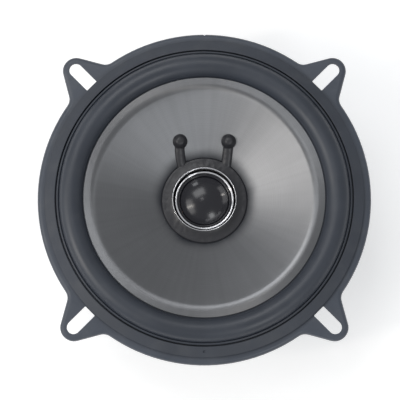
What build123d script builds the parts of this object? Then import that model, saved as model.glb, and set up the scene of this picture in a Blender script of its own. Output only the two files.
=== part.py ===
from build123d import *
import math
import os

# A coaxial car loudspeaker with a 130 mm round flange. Millimetres.
# +Z runs along the speaker's axis towards the listener, and +Y is the terminal side.
# The origin is the centre of the magnet assembly's flat back, on which the speaker stands.

# Magnet assembly
YOKE_R = 32.0
YOKE_THICKNESS = 5.0
MAGNET_R = 36.0
MAGNET_HEIGHT = 12.0
TOP_PLATE_R = 32.0
TOP_PLATE_THICKNESS = 4.0
MAGNET_BORE_GAP = 3.0      # from the top plate's bore to the magnet's wider one
POLE_STAND = 0.5           # how far the pole rises past the top plate
EDGE_CHAMFER = 0.8

# Voice coil, whose bore sets the pole, the plate's bore, the cone's neck and the tweeter
COIL_BORE_R = 12.3
FORMER_WALL = 0.25
WINDING_WALL = 0.45
WINDING_HEIGHT = 8.0
POLE_GAP = 0.4
PLATE_GAP = 0.45
FORMER_TAIL = 0.4          # former left bare below the winding
FORMER_RISE = 4.4          # former seen above the neck ring's outer edge

# Basket, pressed from one sheet
SHEET = 1.0
SHEET_BEND_R = 1.6
FLANGE_R = 65.0
BASKET_DEPTH = 29.0        # from the top plate to the flange's front face
FLOOR_HOLE_MARGIN = 5.0    # from the winding to the floor's hole
FLOOR_R = 31.0
LEDGE_RISE = 8.5
LEDGE_RUN = 2.0            # how far the floor's wall leans outwards
LEDGE_WIDTH = 4.5
RIM_WALL_HEIGHT = 6.0
RIM_WALL_LEAN = 1.0
EDGE_BEND_R = 1.7
SKIRT_DEPTH = 3.6
WINDOW_COUNT = 6
WINDOW_HALF_ANGLE = 19.0
WINDOW_INNER_MARGIN = 2.5
WINDOW_OUTER_MARGIN = 2.0
WINDOW_CORNER_R = 3.0
NOTCH_WIDTH = 2.4
NOTCH_DEPTH = 0.7

# Mounting ears at 45 degrees
EAR_COUNT = 4
SLOT_WIDTH = 5.25
SLOT_REACH = 6.3           # from the flange's edge to the centre of the slot's round end
SLOT_INSET = 2.6           # from the flange's edge inwards to the slot's square end
SLOT_CORNER_R = 0.35
EAR_RIM = 2.65             # metal round the slot's end
EAR_BASE_HALF = 10.2
EAR_FILLET_R = 4.5

# Suspension and gasket, worked inwards from the flange's edge
GASKET_INSET = 3.0
GASKET_WIDTH = 4.1
GASKET_OUTER_THICKNESS = 0.5
GASKET_INNER_THICKNESS = 2.1
GASKET_ROUND = 0.3
RUBBER = 0.7
BEAD_R = 0.5
BEAD_GAP = 0.45            # the groove between the gasket and the surround's bead
ROLL_WIDTH = 9.3
SURROUND_RISE = 1.8        # the roll's foot above the surround's glued lip
INNER_LIP_WIDTH = 3.4
DIMPLE_R = 0.6

# Cone
CONE_WALL = 0.5
CONE_LIP_WIDTH = 3.9
CONE_DEPTH = 12.0          # from the lip down to the neck ring's outer edge
CONE_BEND_R = 1.5
CONE_EDGE_GAP = 0.1
NECK_RING_WIDTH = 4.45
NECK_RING_RISE = 2.6
NECK_RING_EDGE = 0.8
NECK_WAIST_WIDTH = 1.8
NECK_WAIST_HEIGHT = 0.75
TRACK_WIDTH = 3.6
TRACK_HEIGHT = 1.1
BLOB_R = 2.65
BLOB_MARGIN = 7.9          # from the neck ring's edge to the blob's centre
BLOB_ANGLE = 22.6          # either side of +Y
TRACK_ROOT_ANGLE = 33.0
TRACK_BOW_LEFT = 0.6
TRACK_BOW_RIGHT = 0.1
EYELET_R = 1.1
EYELET_FLANGE_R = 1.9
EYELET_WALL = 0.35
EYELET_TAIL = 1.6
EYELET_FIT = 0.1
CONE_TRAVEL = 4.0
CONE_CLEARANCE = 0.3

# Spider and its collar
SPIDER_WALL = 0.4
SPIDER_OUTER_LAND = 3.6
SPIDER_INNER_LAND = 2.6
SPIDER_ROLLS = 5
SPIDER_AMPLITUDE = 1.1
SPIDER_BEND_SHARE = 0.4     # of each flank, taken by the bend at its end
COLLAR_WIDTH = 2.4
COLLAR_HEIGHT = 2.2

# Tweeter, on a hollow post that passes through the pole
TWEETER_CLEARANCE = 0.8
TWEETER_RECESS = 3.6       # below the former's rim
CUP_WALL = 1.4
CUP_FLOOR = 2.0
CUP_HEIGHT = 8.5
TWEETER_MAGNET_HEIGHT = 4.0
TWEETER_MAGNET_INSET = 0.5
TWEETER_PLATE_THICKNESS = 2.0
TWEETER_PLATE_GAP = 0.4
TWEETER_FORMER_WALL = 0.12
TWEETER_WINDING_WALL = 0.35
TWEETER_WINDING_HEIGHT = 2.8
DIAPHRAGM_RING_HEIGHT = 1.2
TRIM_RING_WALL = 0.7
TRIM_RING_HEIGHT = 1.3
TRIM_RING_ROUND = 0.28
DOME_RISE = 3.3
DOME_WALL = 0.25
DOME_EDGE = 0.3            # dome that laps outside its coil
DAMPING_PAD_HEIGHT = 1.2
DAMPING_PAD_INSET = 2.6
WAFER_THICKNESS = 0.8
WAFER_INSET = 1.0
TAG_WIDTH = 2.0
TAG_LENGTH = 2.6
TAG_THICKNESS = 0.5
POST_FLANGE_THICKNESS = 1.6
POST_FLANGE_R = 6.3
POST_SHOULDER_R = 5.2
POST_SHANK_R = 3.9
POST_BORE_R = 1.9
POST_FIT = 0.1
POST_SLOT_HEIGHT = 3.2
POST_SLOT_MARGIN = 1.2
POST_TAIL_INSET = 0.2
NUT_ACROSS_FLATS = 13.0
NUT_HEIGHT = 3.0
NUT_CHAMFER = 0.5
NUT_CORNER_TRIM = 0.2
WASHER_R = 7.4
WASHER_THICKNESS = 0.6
RECESS_R = 8.6
RECESS_DEPTH = 5.4
GROOVE_WIDTH = 3.6
GROOVE_DEPTH = 2.0

# Wires
TWEETER_WIRE_R = 0.6
TWEETER_WIRE_SPREAD = 0.75
TINSEL_R = 0.55
TINSEL_DROP = 4.2
TINSEL_HUMP = 1.8          # above the lug, at the near share of the tinsel's run
TINSEL_HUMP_END = 1.25     # above the lug, at the far share
TINSEL_NEAR = 0.35
TINSEL_FAR = 0.7
COMPONENT_LEAD_R = 0.35
WIRE_SIT = 0.02            # clearance below a wire that rests on a face
WIRE_FLOOR_GAP = 0.15      # from the surface behind the magnet to the wires in the groove
WIRE_MAGNET_GAP = 0.6
WIRE_BEND_R = 2.0
WIRE_TAG_BEND_R = 1.5
WIRE_BEND_SHARE = 0.45     # of the shorter run, where a bend takes what its runs allow
WIRE_TURN_ANGLE = 82.0     # where the striped wire turns along the basket's floor
SPLICE_R = 1.02

# Staking rivets through the basket's floor
RIVET_COUNT = 4
RIVET_R = 2.0
RIVET_HEAD_R = 3.2
RIVET_HEAD_HEIGHT = 1.1
RIVET_HEAD_ROUND = 0.65
RIVET_DEPTH = 2.5
RIVET_FIT = 0.05

# Terminal board on a tab at the +Y window
TAB_WIDTH = 6.0
BOARD_WIDTH = 23.0
BOARD_LENGTH = 11.0
BOARD_THICKNESS = 1.6
BOARD_MARGIN = 0.5         # from the window's inner edge
BOARD_LAP = 1.2            # how far the board passes the tab's end
BOARD_CORNER_R = 1.5
SPADE_PITCH = 13.0
SPADE_THICKNESS = 0.8
SPADE_WIDE = 6.3
SPADE_NARROW = 4.8
SPADE_LENGTH = 14.5
SPADE_OVERHANG = 6.5
SPADE_HOLE_R = 0.85
SPADE_CORNER = 1.2
LUG_HOLE_R = 0.8
LUG_HOLE_MARGIN = 1.6
SOLDER_R = 1.5
SOLDER_HEIGHT = 1.1
BOARD_RIVET_MARGIN = 2.6
BOARD_RIVET_R = 1.2
BOARD_RIVET_HEAD_R = 2.0
BOARD_RIVET_HEAD_HEIGHT = 0.6
BOARD_RIVET_FIT = 0.05

# Crossover capacitor, glued under the spoke beside the terminal board
CAPACITOR_R = 4.0
CAPACITOR_LENGTH = 13.0
CAPACITOR_ANGLE = 60.0
CAPACITOR_RUN = 7.5        # out along the spoke from the ledge
CAPACITOR_PAD_GAP = 0.5
CAPACITOR_PAD_LENGTH = 9.0
CAPACITOR_PAD_WIDTH = 5.0
CAPACITOR_RIM = 0.5
CAPACITOR_GROOVE_INSET = 1.5

# Heights
magnet_z = YOKE_THICKNESS
top_plate_z = magnet_z + MAGNET_HEIGHT
gap_top_z = top_plate_z + TOP_PLATE_THICKNESS
gap_mid_z = top_plate_z + TOP_PLATE_THICKNESS / 2
floor_z = gap_top_z
flange_z = floor_z + BASKET_DEPTH
ledge_z = floor_z + LEDGE_RISE + SHEET / 2
skirt_z = flange_z - SKIRT_DEPTH
roll_z = flange_z + RUBBER / 2 + SURROUND_RISE
cone_lip_z = roll_z + RUBBER / 2
neck_ring_z = cone_lip_z + CONE_WALL - CONE_DEPTH
former_top_z = neck_ring_z + FORMER_RISE
spider_z = ledge_z + SPIDER_WALL / 2
pole_top_z = gap_top_z + POLE_STAND
tweeter_rim_z = former_top_z - TWEETER_RECESS

# Radii
former_r = COIL_BORE_R + FORMER_WALL
winding_r = former_r + WINDING_WALL
plate_bore_r = winding_r + PLATE_GAP
pole_r = COIL_BORE_R - POLE_GAP
magnet_bore_r = plate_bore_r + MAGNET_BORE_GAP
floor_hole_r = winding_r + FLOOR_HOLE_MARGIN
gasket_outer_r = FLANGE_R - GASKET_INSET
gasket_inner_r = gasket_outer_r - GASKET_WIDTH
bead_r = gasket_inner_r - BEAD_GAP - BEAD_R
roll_outer_r = bead_r - BEAD_R
roll_inner_r = roll_outer_r - ROLL_WIDTH
cone_r = roll_inner_r - CONE_EDGE_GAP
cone_bend_r = cone_r - CONE_LIP_WIDTH
neck_ring_r = former_r + NECK_RING_WIDTH
rim_r = roll_outer_r - SHEET / 2
ledge_inner_r = FLOOR_R + LEDGE_RUN
ledge_outer_r = ledge_inner_r + LEDGE_WIDTH
window_inner_r = ledge_outer_r + WINDOW_INNER_MARGIN
window_outer_r = rim_r - RIM_WALL_LEAN - WINDOW_OUTER_MARGIN
cup_r = COIL_BORE_R - TWEETER_CLEARANCE
cup_bore_r = cup_r - CUP_WALL
tweeter_winding_r = cup_bore_r - TWEETER_PLATE_GAP
tweeter_former_r = tweeter_winding_r - TWEETER_WINDING_WALL
tweeter_bore_r = tweeter_former_r - TWEETER_FORMER_WALL
tweeter_plate_r = tweeter_bore_r - TWEETER_PLATE_GAP
tweeter_magnet_r = tweeter_plate_r - TWEETER_MAGNET_INSET
damping_pad_r = tweeter_plate_r - DAMPING_PAD_INSET
dome_r = tweeter_former_r + DOME_EDGE

# Tweeter heights, worked down from its rim
trim_ring_z = tweeter_rim_z - TRIM_RING_HEIGHT
diaphragm_z = trim_ring_z - DOME_WALL
cup_top_z = diaphragm_z - DIAPHRAGM_RING_HEIGHT
cup_z = cup_top_z - CUP_HEIGHT
cup_inside_z = cup_z + CUP_FLOOR
tweeter_plate_z = cup_inside_z + TWEETER_MAGNET_HEIGHT
tweeter_plate_top_z = tweeter_plate_z + TWEETER_PLATE_THICKNESS
damping_pad_top_z = tweeter_plate_top_z + DAMPING_PAD_HEIGHT
tweeter_gap_mid_z = tweeter_plate_z + TWEETER_PLATE_THICKNESS / 2
wafer_z = cup_z - WAFER_THICKNESS
post_flange_z = wafer_z - POST_FLANGE_THICKNESS
post_slot_z = post_flange_z - POST_SLOT_MARGIN - POST_SLOT_HEIGHT
nut_z = RECESS_DEPTH - WASHER_THICKNESS - NUT_HEIGHT
post_end_z = nut_z - POST_TAIL_INSET

# Terminal board
board_y = window_inner_r + BOARD_MARGIN + BOARD_LENGTH / 2
board_end_y = board_y + BOARD_LENGTH / 2
board_top_z = ledge_z + BOARD_THICKNESS
spade_x = SPADE_PITCH / 2
spade_end_y = board_end_y + SPADE_OVERHANG
spade_start_y = spade_end_y - SPADE_LENGTH
lug_y = spade_start_y + LUG_HOLE_MARGIN
lug_z = board_top_z + SPADE_THICKNESS
board_rivet_y = board_end_y - BOARD_RIVET_MARGIN


def ring(outer_r, inner_r, low_z, high_z):
    """A plain ring on the axis."""
    height = high_z - low_z
    blank = Cylinder(outer_r, height) - Cylinder(inner_r, height + 1)
    return Pos(0, 0, (low_z + high_z) / 2) * blank


def disc(radius, low_z, high_z):
    """A plain disc on the axis."""
    return Pos(0, 0, (low_z + high_z) / 2) * Cylinder(radius, high_z - low_z)


def turned(points):
    """A solid turned about the axis from a closed outline of (radius, height) points."""
    outline = Plane.XZ * Polyline(*points, close=True)
    return revolve(make_face(outline), Axis.Z)


def turned_sheet(points, bends, wall):
    """A thin wall turned about the axis, with its middle on a line of (radius, height) points.

    Each end is rounded, half a wall past the line's end.
    """
    middle = FilletPolyline(*[(r, z) for r, z in points], radius=bends)
    return turned_wall(middle, wall)


def turned_wall(middle, wall):
    """A thin wall turned about the axis from its middle line, drawn with radius as x and height as y."""
    section = make_face(Wire(middle.edges()).offset_2d(wall / 2))
    return revolve(Plane.XZ * section, Axis.Z)


def around(piece, count, first_angle=0.0):
    """Copies of a piece, evenly spaced about the axis."""
    return [Rot(0, 0, first_angle + 360 / count * i) * piece for i in range(count)]


def polar(radius, angle):
    """The point at a radius and an angle measured from +X, in the plane across the axis."""
    return radius * math.cos(math.radians(angle)), radius * math.sin(math.radians(angle))


def bend_radii(points):
    """The bend at each inner point of a wire's route, as large as its two runs allow."""
    radii = []
    places = [Vector(*p) for p in points]
    for before, here, after in zip(places, places[1:], places[2:]):
        run_in = here - before
        run_out = after - here
        half_turn = math.radians(run_in.get_angle(run_out)) / 2
        radii.append(WIRE_BEND_SHARE * min(run_in.length, run_out.length) / math.tan(half_turn))
    return radii


def wire(points, radius, bends=None):
    """A round wire along straight runs joined by tangent bends."""
    route = FilletPolyline(*points, radius=bends or bend_radii(points))
    section = Plane(origin=route @ 0, z_dir=route % 0) * Circle(radius)
    return sweep(section, path=route)


def cone_slope():
    """The cone's slope, from the plane across the axis."""
    return math.atan2(cone_lip_z + CONE_WALL - neck_ring_z, cone_bend_r - neck_ring_r)


def cone_front(radius):
    """The height of the cone's front surface at a radius inside its lip."""
    return neck_ring_z + (radius - neck_ring_r) * math.tan(cone_slope())


def flange_outline():
    """The flange seen from the front: a disc with four slotted ears."""
    tip_r = SLOT_WIDTH / 2 + EAR_RIM
    tip_x = FLANGE_R + SLOT_REACH
    base_x = math.sqrt(FLANGE_R**2 - EAR_BASE_HALF**2)
    reach = math.hypot(tip_x - base_x, EAR_BASE_HALF)
    lean = math.atan2(EAR_BASE_HALF, tip_x - base_x) - math.asin(tip_r / reach)
    touch = (tip_x + tip_r * math.sin(lean), tip_r * math.cos(lean))
    flanks = Polyline((base_x, -EAR_BASE_HALF), (touch[0], -touch[1]))
    flanks += ThreePointArc((touch[0], -touch[1]), (tip_x + tip_r, 0), touch)
    flanks += Polyline(touch, (base_x, EAR_BASE_HALF), (0, EAR_BASE_HALF), (0, -EAR_BASE_HALF))
    flanks += Line((0, -EAR_BASE_HALF), (base_x, -EAR_BASE_HALF))
    outline = Circle(FLANGE_R) + around(make_face(flanks), EAR_COUNT, 45)
    roots = [v for v in outline.vertices() if abs(math.hypot(v.X, v.Y) - FLANGE_R) < 0.01]
    return fillet(roots, EAR_FILLET_R)


def ear_slot():
    """One ear's slot, round at its outer end and square at its inner end."""
    inner_x = FLANGE_R - SLOT_INSET
    outer_x = FLANGE_R + SLOT_REACH
    straight = Pos((inner_x + outer_x) / 2, 0) * Rectangle(outer_x - inner_x, SLOT_WIDTH)
    corners = straight.vertices().sort_by(Axis.X)[:2]
    outline = fillet(corners, SLOT_CORNER_R) + Pos(outer_x, 0) * Circle(SLOT_WIDTH / 2)
    return Pos(0, 0, skirt_z) * extrude(outline, SKIRT_DEPTH + 1)


def flange_pan():
    """The flange with its turned-down edge."""
    outline = flange_outline()
    outside = Pos(0, 0, skirt_z) * extrude(outline, SKIRT_DEPTH)
    outside = fillet(outside.faces().sort_by(Axis.Z)[-1].edges(), EDGE_BEND_R)
    inside = Pos(0, 0, skirt_z) * extrude(offset(outline, -SHEET), SKIRT_DEPTH - SHEET)
    inside = fillet(inside.faces().sort_by(Axis.Z)[-1].edges(), EDGE_BEND_R - SHEET)
    return outside - inside - disc(rim_r + SHEET, skirt_z - 1, flange_z + 1)


def basket_wall_slope():
    """The slope of the basket's windowed wall, from the plane across the axis."""
    run = rim_r - RIM_WALL_LEAN - ledge_outer_r
    rise = flange_z - RIM_WALL_HEIGHT - (ledge_z - SHEET / 2)
    return math.atan2(rise, run)


def window_cut():
    """One of the wide windows that let air out of the basket, as a prism along the axis."""
    low = [polar(window_inner_r, a) for a in (-WINDOW_HALF_ANGLE, 0, WINDOW_HALF_ANGLE)]
    high = [polar(window_outer_r, a) for a in (-WINDOW_HALF_ANGLE, 0, WINDOW_HALF_ANGLE)]
    edge = ThreePointArc(*low) + Line(low[2], high[2])
    edge += ThreePointArc(*high) + Line(high[0], low[0])
    outline = make_face(edge)
    outline = fillet(outline.vertices(), WINDOW_CORNER_R)
    return Pos(0, 0, ledge_z) * extrude(outline, flange_z - ledge_z - SHEET)


def basket():
    """The pressed steel frame: floor, spider ledge, windowed wall, rim, flange, skirt and terminal tab."""
    floor_mid = floor_z + SHEET / 2
    flange_mid = flange_z - SHEET / 2
    ledge_mid = ledge_z - SHEET / 2
    rim_foot = flange_z - RIM_WALL_HEIGHT
    line = [
        (floor_hole_r + SHEET / 2, floor_mid),
        (FLOOR_R, floor_mid),
        (ledge_inner_r, ledge_mid),
        (ledge_outer_r, ledge_mid),
        (rim_r - RIM_WALL_LEAN, rim_foot),
        (rim_r, flange_mid),
        (rim_r + 2 * SHEET, flange_mid),
    ]
    bends = [SHEET_BEND_R] * 4 + [SHEET_BEND_R / 2]
    pressing = turned_sheet(line, bends, SHEET) + flange_pan()
    pressing -= around(window_cut(), WINDOW_COUNT, 90)
    pressing -= around(ear_slot(), EAR_COUNT, 45)
    pressing -= rivet_holes(floor_z - 1, floor_z + SHEET + 1)
    tab_start = ledge_outer_r - SHEET
    tab_length = board_end_y - BOARD_LAP - tab_start
    pressing += Pos(0, tab_start + tab_length / 2, ledge_mid) * Box(TAB_WIDTH, tab_length, SHEET)
    hole = Pos(0, board_y, ledge_mid) * Cylinder(BOARD_RIVET_R + BOARD_RIVET_FIT, 2 * SHEET)
    notch = Polyline((-NOTCH_WIDTH / 2, 1), (0, -NOTCH_DEPTH), (NOTCH_WIDTH / 2, 1), close=True)
    nick = Pos(0, FLANGE_R, skirt_z - 1) * extrude(make_face(notch), SKIRT_DEPTH + 2)
    return pressing - hole - nick


def rivet_ring_r():
    """The circle of the staking rivets, midway across the basket's floor."""
    return (floor_hole_r + FLOOR_R - SHEET_BEND_R) / 2


def rivet_holes(low_z, high_z):
    """Holes for the staking rivets."""
    hole = Cylinder(RIVET_R + RIVET_FIT, high_z - low_z)
    return around(Pos(rivet_ring_r(), 0, (low_z + high_z) / 2) * hole, RIVET_COUNT, 45)


def staking_rivets():
    """Rivets that hold the basket's floor down on the top plate."""
    head_z = floor_z + SHEET
    shank_height = SHEET + RIVET_DEPTH
    head = Cylinder(RIVET_HEAD_R, RIVET_HEAD_HEIGHT)
    head = fillet(head.faces().sort_by(Axis.Z)[-1].edges(), RIVET_HEAD_ROUND)
    rivet = Pos(0, 0, head_z + RIVET_HEAD_HEIGHT / 2) * head
    rivet += Pos(0, 0, head_z - shank_height / 2) * Cylinder(RIVET_R, shank_height)
    return around(Pos(rivet_ring_r(), 0, 0) * rivet, RIVET_COUNT, 45)


def top_plate():
    """The front plate, whose bore is the outer side of the magnetic gap."""
    plate = ring(TOP_PLATE_R, plate_bore_r, top_plate_z, gap_top_z)
    plate = chamfer(plate.edges().filter_by(GeomType.CIRCLE).group_by(SortBy.LENGTH)[-1], EDGE_CHAMFER)
    return plate - rivet_holes(gap_top_z - RIVET_DEPTH - RIVET_FIT, gap_top_z + 1)


def ring_magnet():
    """The ferrite ring."""
    magnet = ring(MAGNET_R, magnet_bore_r, magnet_z, top_plate_z)
    return chamfer(magnet.edges().filter_by(GeomType.CIRCLE).group_by(SortBy.LENGTH)[-1], EDGE_CHAMFER)


def yoke():
    """The back plate and pole in one piece, with a recess and a groove behind for the nut and the wires."""
    plate = disc(YOKE_R, 0, YOKE_THICKNESS)
    plate = chamfer(plate.edges().filter_by(GeomType.CIRCLE), EDGE_CHAMFER)
    pole = disc(pole_r, YOKE_THICKNESS - 1, pole_top_z)
    pole = chamfer(pole.faces().sort_by(Axis.Z)[-1].edges(), EDGE_CHAMFER / 2)
    body = plate + pole - disc(POST_SHANK_R + POST_FIT, -1, pole_top_z + 1)
    body -= disc(RECESS_R, -1, RECESS_DEPTH)
    groove = Box(GROOVE_WIDTH, YOKE_R + 1, 2 * GROOVE_DEPTH)
    return body - Pos(0, (YOKE_R + 1) / 2, 0) * groove


def gasket_ring():
    """The wedge-shaped front gasket on the surround's glued lip."""
    base = flange_z + RUBBER
    points = [
        (gasket_outer_r, base),
        (gasket_outer_r, base + GASKET_OUTER_THICKNESS),
        (gasket_inner_r, base + GASKET_INNER_THICKNESS),
        (gasket_inner_r, base),
    ]
    gasket = turned(points)
    rims = gasket.edges().filter_by(GeomType.CIRCLE).sort_by(Axis.Z)
    gasket = fillet([rims[-1]], GASKET_ROUND)
    middle = (gasket_outer_r + gasket_inner_r) / 2
    middle_top = base + (GASKET_OUTER_THICKNESS + GASKET_INNER_THICKNESS) / 2
    return gasket - Pos(0, -middle, middle_top + DIMPLE_R / 3) * Sphere(DIMPLE_R)


def surround():
    """The rubber half roll, with its glued lips and the bead at its foot."""
    mid = (roll_inner_r + roll_outer_r) / 2
    bow = ROLL_WIDTH / 2 - RUBBER / 2
    lip_z = flange_z + RUBBER / 2
    lip_r = gasket_outer_r - RUBBER / 2
    middle = Line((cone_r - INNER_LIP_WIDTH + RUBBER / 2, roll_z), (mid - bow, roll_z))
    middle += ThreePointArc((mid - bow, roll_z), (mid, roll_z + bow), (mid + bow, roll_z))
    middle += Line((mid + bow, roll_z), (bead_r, roll_z))
    middle += Polyline((bead_r, roll_z), (bead_r, lip_z), (lip_r, lip_z))
    skin = turned_wall(middle, RUBBER)
    bead = Plane.XZ * Pos(bead_r, roll_z + RUBBER / 2) * Circle(BEAD_R)
    return skin + revolve(bead, Axis.Z)


def cone():
    """The silvered cone with its flat lip, glued on the surround's inner lip."""
    half = CONE_WALL / 2
    start_r = former_r - 2 * CONE_WALL
    line = [
        (start_r, cone_front(start_r) - half / math.cos(cone_slope())),
        (cone_bend_r + half * math.tan(cone_slope() / 2), cone_lip_z + half),
        (cone_r - half, cone_lip_z + half),
    ]
    shell = turned_sheet(line, [CONE_BEND_R], CONE_WALL)
    shell -= disc(former_r, neck_ring_z - CONE_DEPTH, neck_ring_z + CONE_DEPTH)
    for x, y, z in eyelet_places():
        shell -= Pos(x, y, z) * Cylinder(EYELET_R, 4 * CONE_WALL + 2)
    return shell


def voice_coil_former():
    """The aluminium tube that carries the coil and joins it to the cone."""
    return ring(former_r, COIL_BORE_R, gap_mid_z - WINDING_HEIGHT / 2 - FORMER_TAIL, former_top_z)


def voice_coil_winding():
    """The copper winding, centred on the top plate."""
    half = WINDING_HEIGHT / 2
    return ring(winding_r, former_r, gap_mid_z - half, gap_mid_z + half)


def neck_ring():
    """The black glue fillet where the cone meets the former."""
    top = cone_front(former_r) + NECK_RING_RISE + NECK_RING_EDGE
    inside = (former_r, cone_front(former_r))
    outside = (neck_ring_r, neck_ring_z)
    shoulder = (neck_ring_r - NECK_RING_EDGE / 2, neck_ring_z + NECK_RING_EDGE)
    waist = (former_r + NECK_WAIST_WIDTH, neck_ring_z + NECK_WAIST_HEIGHT)
    edge = Line((former_r, top), inside) + Line(inside, outside) + Line(outside, shoulder)
    edge += Spline(shoulder, waist, (former_r, top))
    return revolve(Plane.XZ * make_face(edge), Axis.Z)


def blob_r():
    """The distance of the lead-out blobs from the axis."""
    return neck_ring_r + BLOB_MARGIN


def eyelet_places():
    """The points on the cone's front where the leads pass through it."""
    places = []
    for side in (-1, 1):
        x, y = polar(blob_r(), 90 - side * BLOB_ANGLE)
        places.append((x, y, cone_front(blob_r())))
    return places


def lead_track(side, bow):
    """The black cement over one lead-out wire, from the neck ring to the blob over the eyelet."""
    root = polar(neck_ring_r - 2 * NECK_RING_EDGE, 90 - side * TRACK_ROOT_ANGLE)
    blob = polar(blob_r(), 90 - side * BLOB_ANGLE)
    middle = ((root[0] + blob[0]) / 2 + side * bow, (root[1] + blob[1]) / 2)
    route = ThreePointArc(root, middle, blob)
    plan = make_face(Wire(route.edges()).offset_2d(TRACK_WIDTH / 2))
    column = Pos(0, 0, neck_ring_z) * extrude(plan, CONE_DEPTH)
    skin = turned([
        (neck_ring_r, neck_ring_z),
        (cone_bend_r, cone_front(cone_bend_r)),
        (cone_bend_r, cone_front(cone_bend_r) + TRACK_HEIGHT),
        (neck_ring_r, neck_ring_z + TRACK_HEIGHT),
    ])
    bead = column & skin
    ball = Pos(blob[0], blob[1], cone_front(blob_r())) * Sphere(BLOB_R)
    room = turned([
        (neck_ring_r, neck_ring_z),
        (cone_bend_r, cone_front(cone_bend_r)),
        (cone_bend_r, cone_lip_z + CONE_DEPTH),
        (neck_ring_r, cone_lip_z + CONE_DEPTH),
    ])
    return bead + (ball & room)


def cone_eyelets():
    """Brass eyelets behind the blobs, to which the tinsel leads are soldered."""
    sink = EYELET_R * math.tan(cone_slope())
    pieces = []
    for x, y, z in eyelet_places():
        low = z - CONE_WALL / math.cos(cone_slope()) - EYELET_TAIL
        tube = Pos(x, y, (low + z - sink) / 2) * Cylinder(EYELET_R - EYELET_FIT, z - sink - low)
        flange = Pos(x, y, low + EYELET_WALL / 2) * Cylinder(EYELET_FLANGE_R, EYELET_WALL)
        pieces.append(tube + flange)
    return pieces


def spider_collar():
    """The ring on the former that the spider's inner land is glued under."""
    low = spider_z + SPIDER_WALL / 2
    return ring(former_r + COLLAR_WIDTH, former_r, low, low + COLLAR_HEIGHT)


def spider():
    """The corrugated cloth centring disc."""
    inner_r = former_r + CONE_CLEARANCE
    first = inner_r + SPIDER_INNER_LAND
    last = ledge_outer_r - SPIDER_OUTER_LAND
    step = (last - first) / (2 * SPIDER_ROLLS)
    points = [(inner_r + SPIDER_WALL / 2, spider_z), (first, spider_z)]
    for i in range(1, 2 * SPIDER_ROLLS):
        swing = SPIDER_AMPLITUDE if i % 2 else -SPIDER_AMPLITUDE
        points.append((first + step * i, spider_z + swing))
    points += [(last, spider_z), (ledge_outer_r - SHEET, spider_z)]
    return turned_sheet(points, [step * SPIDER_BEND_SHARE] * (len(points) - 2), SPIDER_WALL)


def tweeter_cup():
    """The steel cup that closes the tweeter's magnetic circuit."""
    cup = disc(cup_r, cup_z, cup_top_z) - disc(cup_bore_r, cup_inside_z, cup_top_z + 1)
    return chamfer(cup.faces().sort_by(Axis.Z)[0].edges(), EDGE_CHAMFER / 2)


def tweeter_dome():
    """The glossy dome, part of a sphere."""
    sphere_r = (dome_r**2 + DOME_RISE**2) / (2 * DOME_RISE)
    centre = Pos(0, 0, diaphragm_z + DOME_RISE - sphere_r)
    shell = centre * Sphere(sphere_r) - centre * Sphere(sphere_r - DOME_WALL)
    return shell & disc(dome_r + 1, diaphragm_z, diaphragm_z + DOME_RISE + 1)


def tweeter_surround():
    """The narrow roll between the dome and its mounting ring, pressed with its flat edge."""
    mid_z = diaphragm_z + DOME_WALL / 2
    foot_r = dome_r + DOME_WALL / 2 + POST_FIT / 2
    bow = (cup_bore_r + DOME_WALL - foot_r) / 2
    middle = ThreePointArc((foot_r, mid_z), (foot_r + bow, mid_z + bow), (foot_r + 2 * bow, mid_z))
    middle += Line((foot_r + 2 * bow, mid_z), (cup_r - DOME_WALL, mid_z))
    return turned_wall(middle, DOME_WALL)


def trim_ring():
    """The bright rounded ring that clamps the diaphragm's edge."""
    band = ring(cup_r, cup_r - TRIM_RING_WALL, trim_ring_z, tweeter_rim_z)
    return fillet(band.faces().sort_by(Axis.Z)[-1].edges(), TRIM_RING_ROUND)


def tweeter_tags():
    """The two solder tags under the tweeter's wafer."""
    x = tag_x()
    tag = Box(TAG_THICKNESS, TAG_WIDTH, TAG_LENGTH)
    return [Pos(side * x, 0, wafer_z - TAG_LENGTH / 2) * tag for side in (-1, 1)]


def tag_x():
    """The distance of the solder tags from the axis."""
    return cup_r - WAFER_INSET - TAG_WIDTH


def tweeter_post():
    """The hollow stud that holds the tweeter and takes its wires back through the pole."""
    stud = disc(POST_FLANGE_R, post_flange_z, wafer_z)
    stud += disc(POST_SHOULDER_R, pole_top_z, post_flange_z)
    stud += disc(POST_SHANK_R, post_end_z, pole_top_z)
    stud -= disc(POST_BORE_R, post_end_z - 1, wafer_z + 1)
    slot_width = 2 * (TWEETER_WIRE_R + 2 * POST_FIT)
    slot = Box(2 * POST_FLANGE_R, slot_width, POST_SLOT_HEIGHT)
    return stud - Pos(0, 0, post_slot_z + POST_SLOT_HEIGHT / 2) * slot


def post_nut():
    """The nut in the recess behind the pole."""
    blank = extrude(RegularPolygon(NUT_ACROSS_FLATS / 2, 6, major_radius=False), NUT_HEIGHT)
    blank &= chamfered_disc(NUT_ACROSS_FLATS / math.sqrt(3) - NUT_CORNER_TRIM, NUT_HEIGHT)
    return Pos(0, 0, nut_z) * (blank - Cylinder(POST_SHANK_R + POST_FIT / 2, 3 * NUT_HEIGHT))


def chamfered_disc(radius, height):
    """A disc standing on the origin, with both rims chamfered."""
    blank = disc(radius, 0, height)
    return chamfer(blank.edges().filter_by(GeomType.CIRCLE), NUT_CHAMFER)


def post_washer():
    """The washer between the nut and the pole."""
    return ring(WASHER_R, POST_SHANK_R + 3 * POST_FIT, nut_z + NUT_HEIGHT, RECESS_DEPTH)


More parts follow.
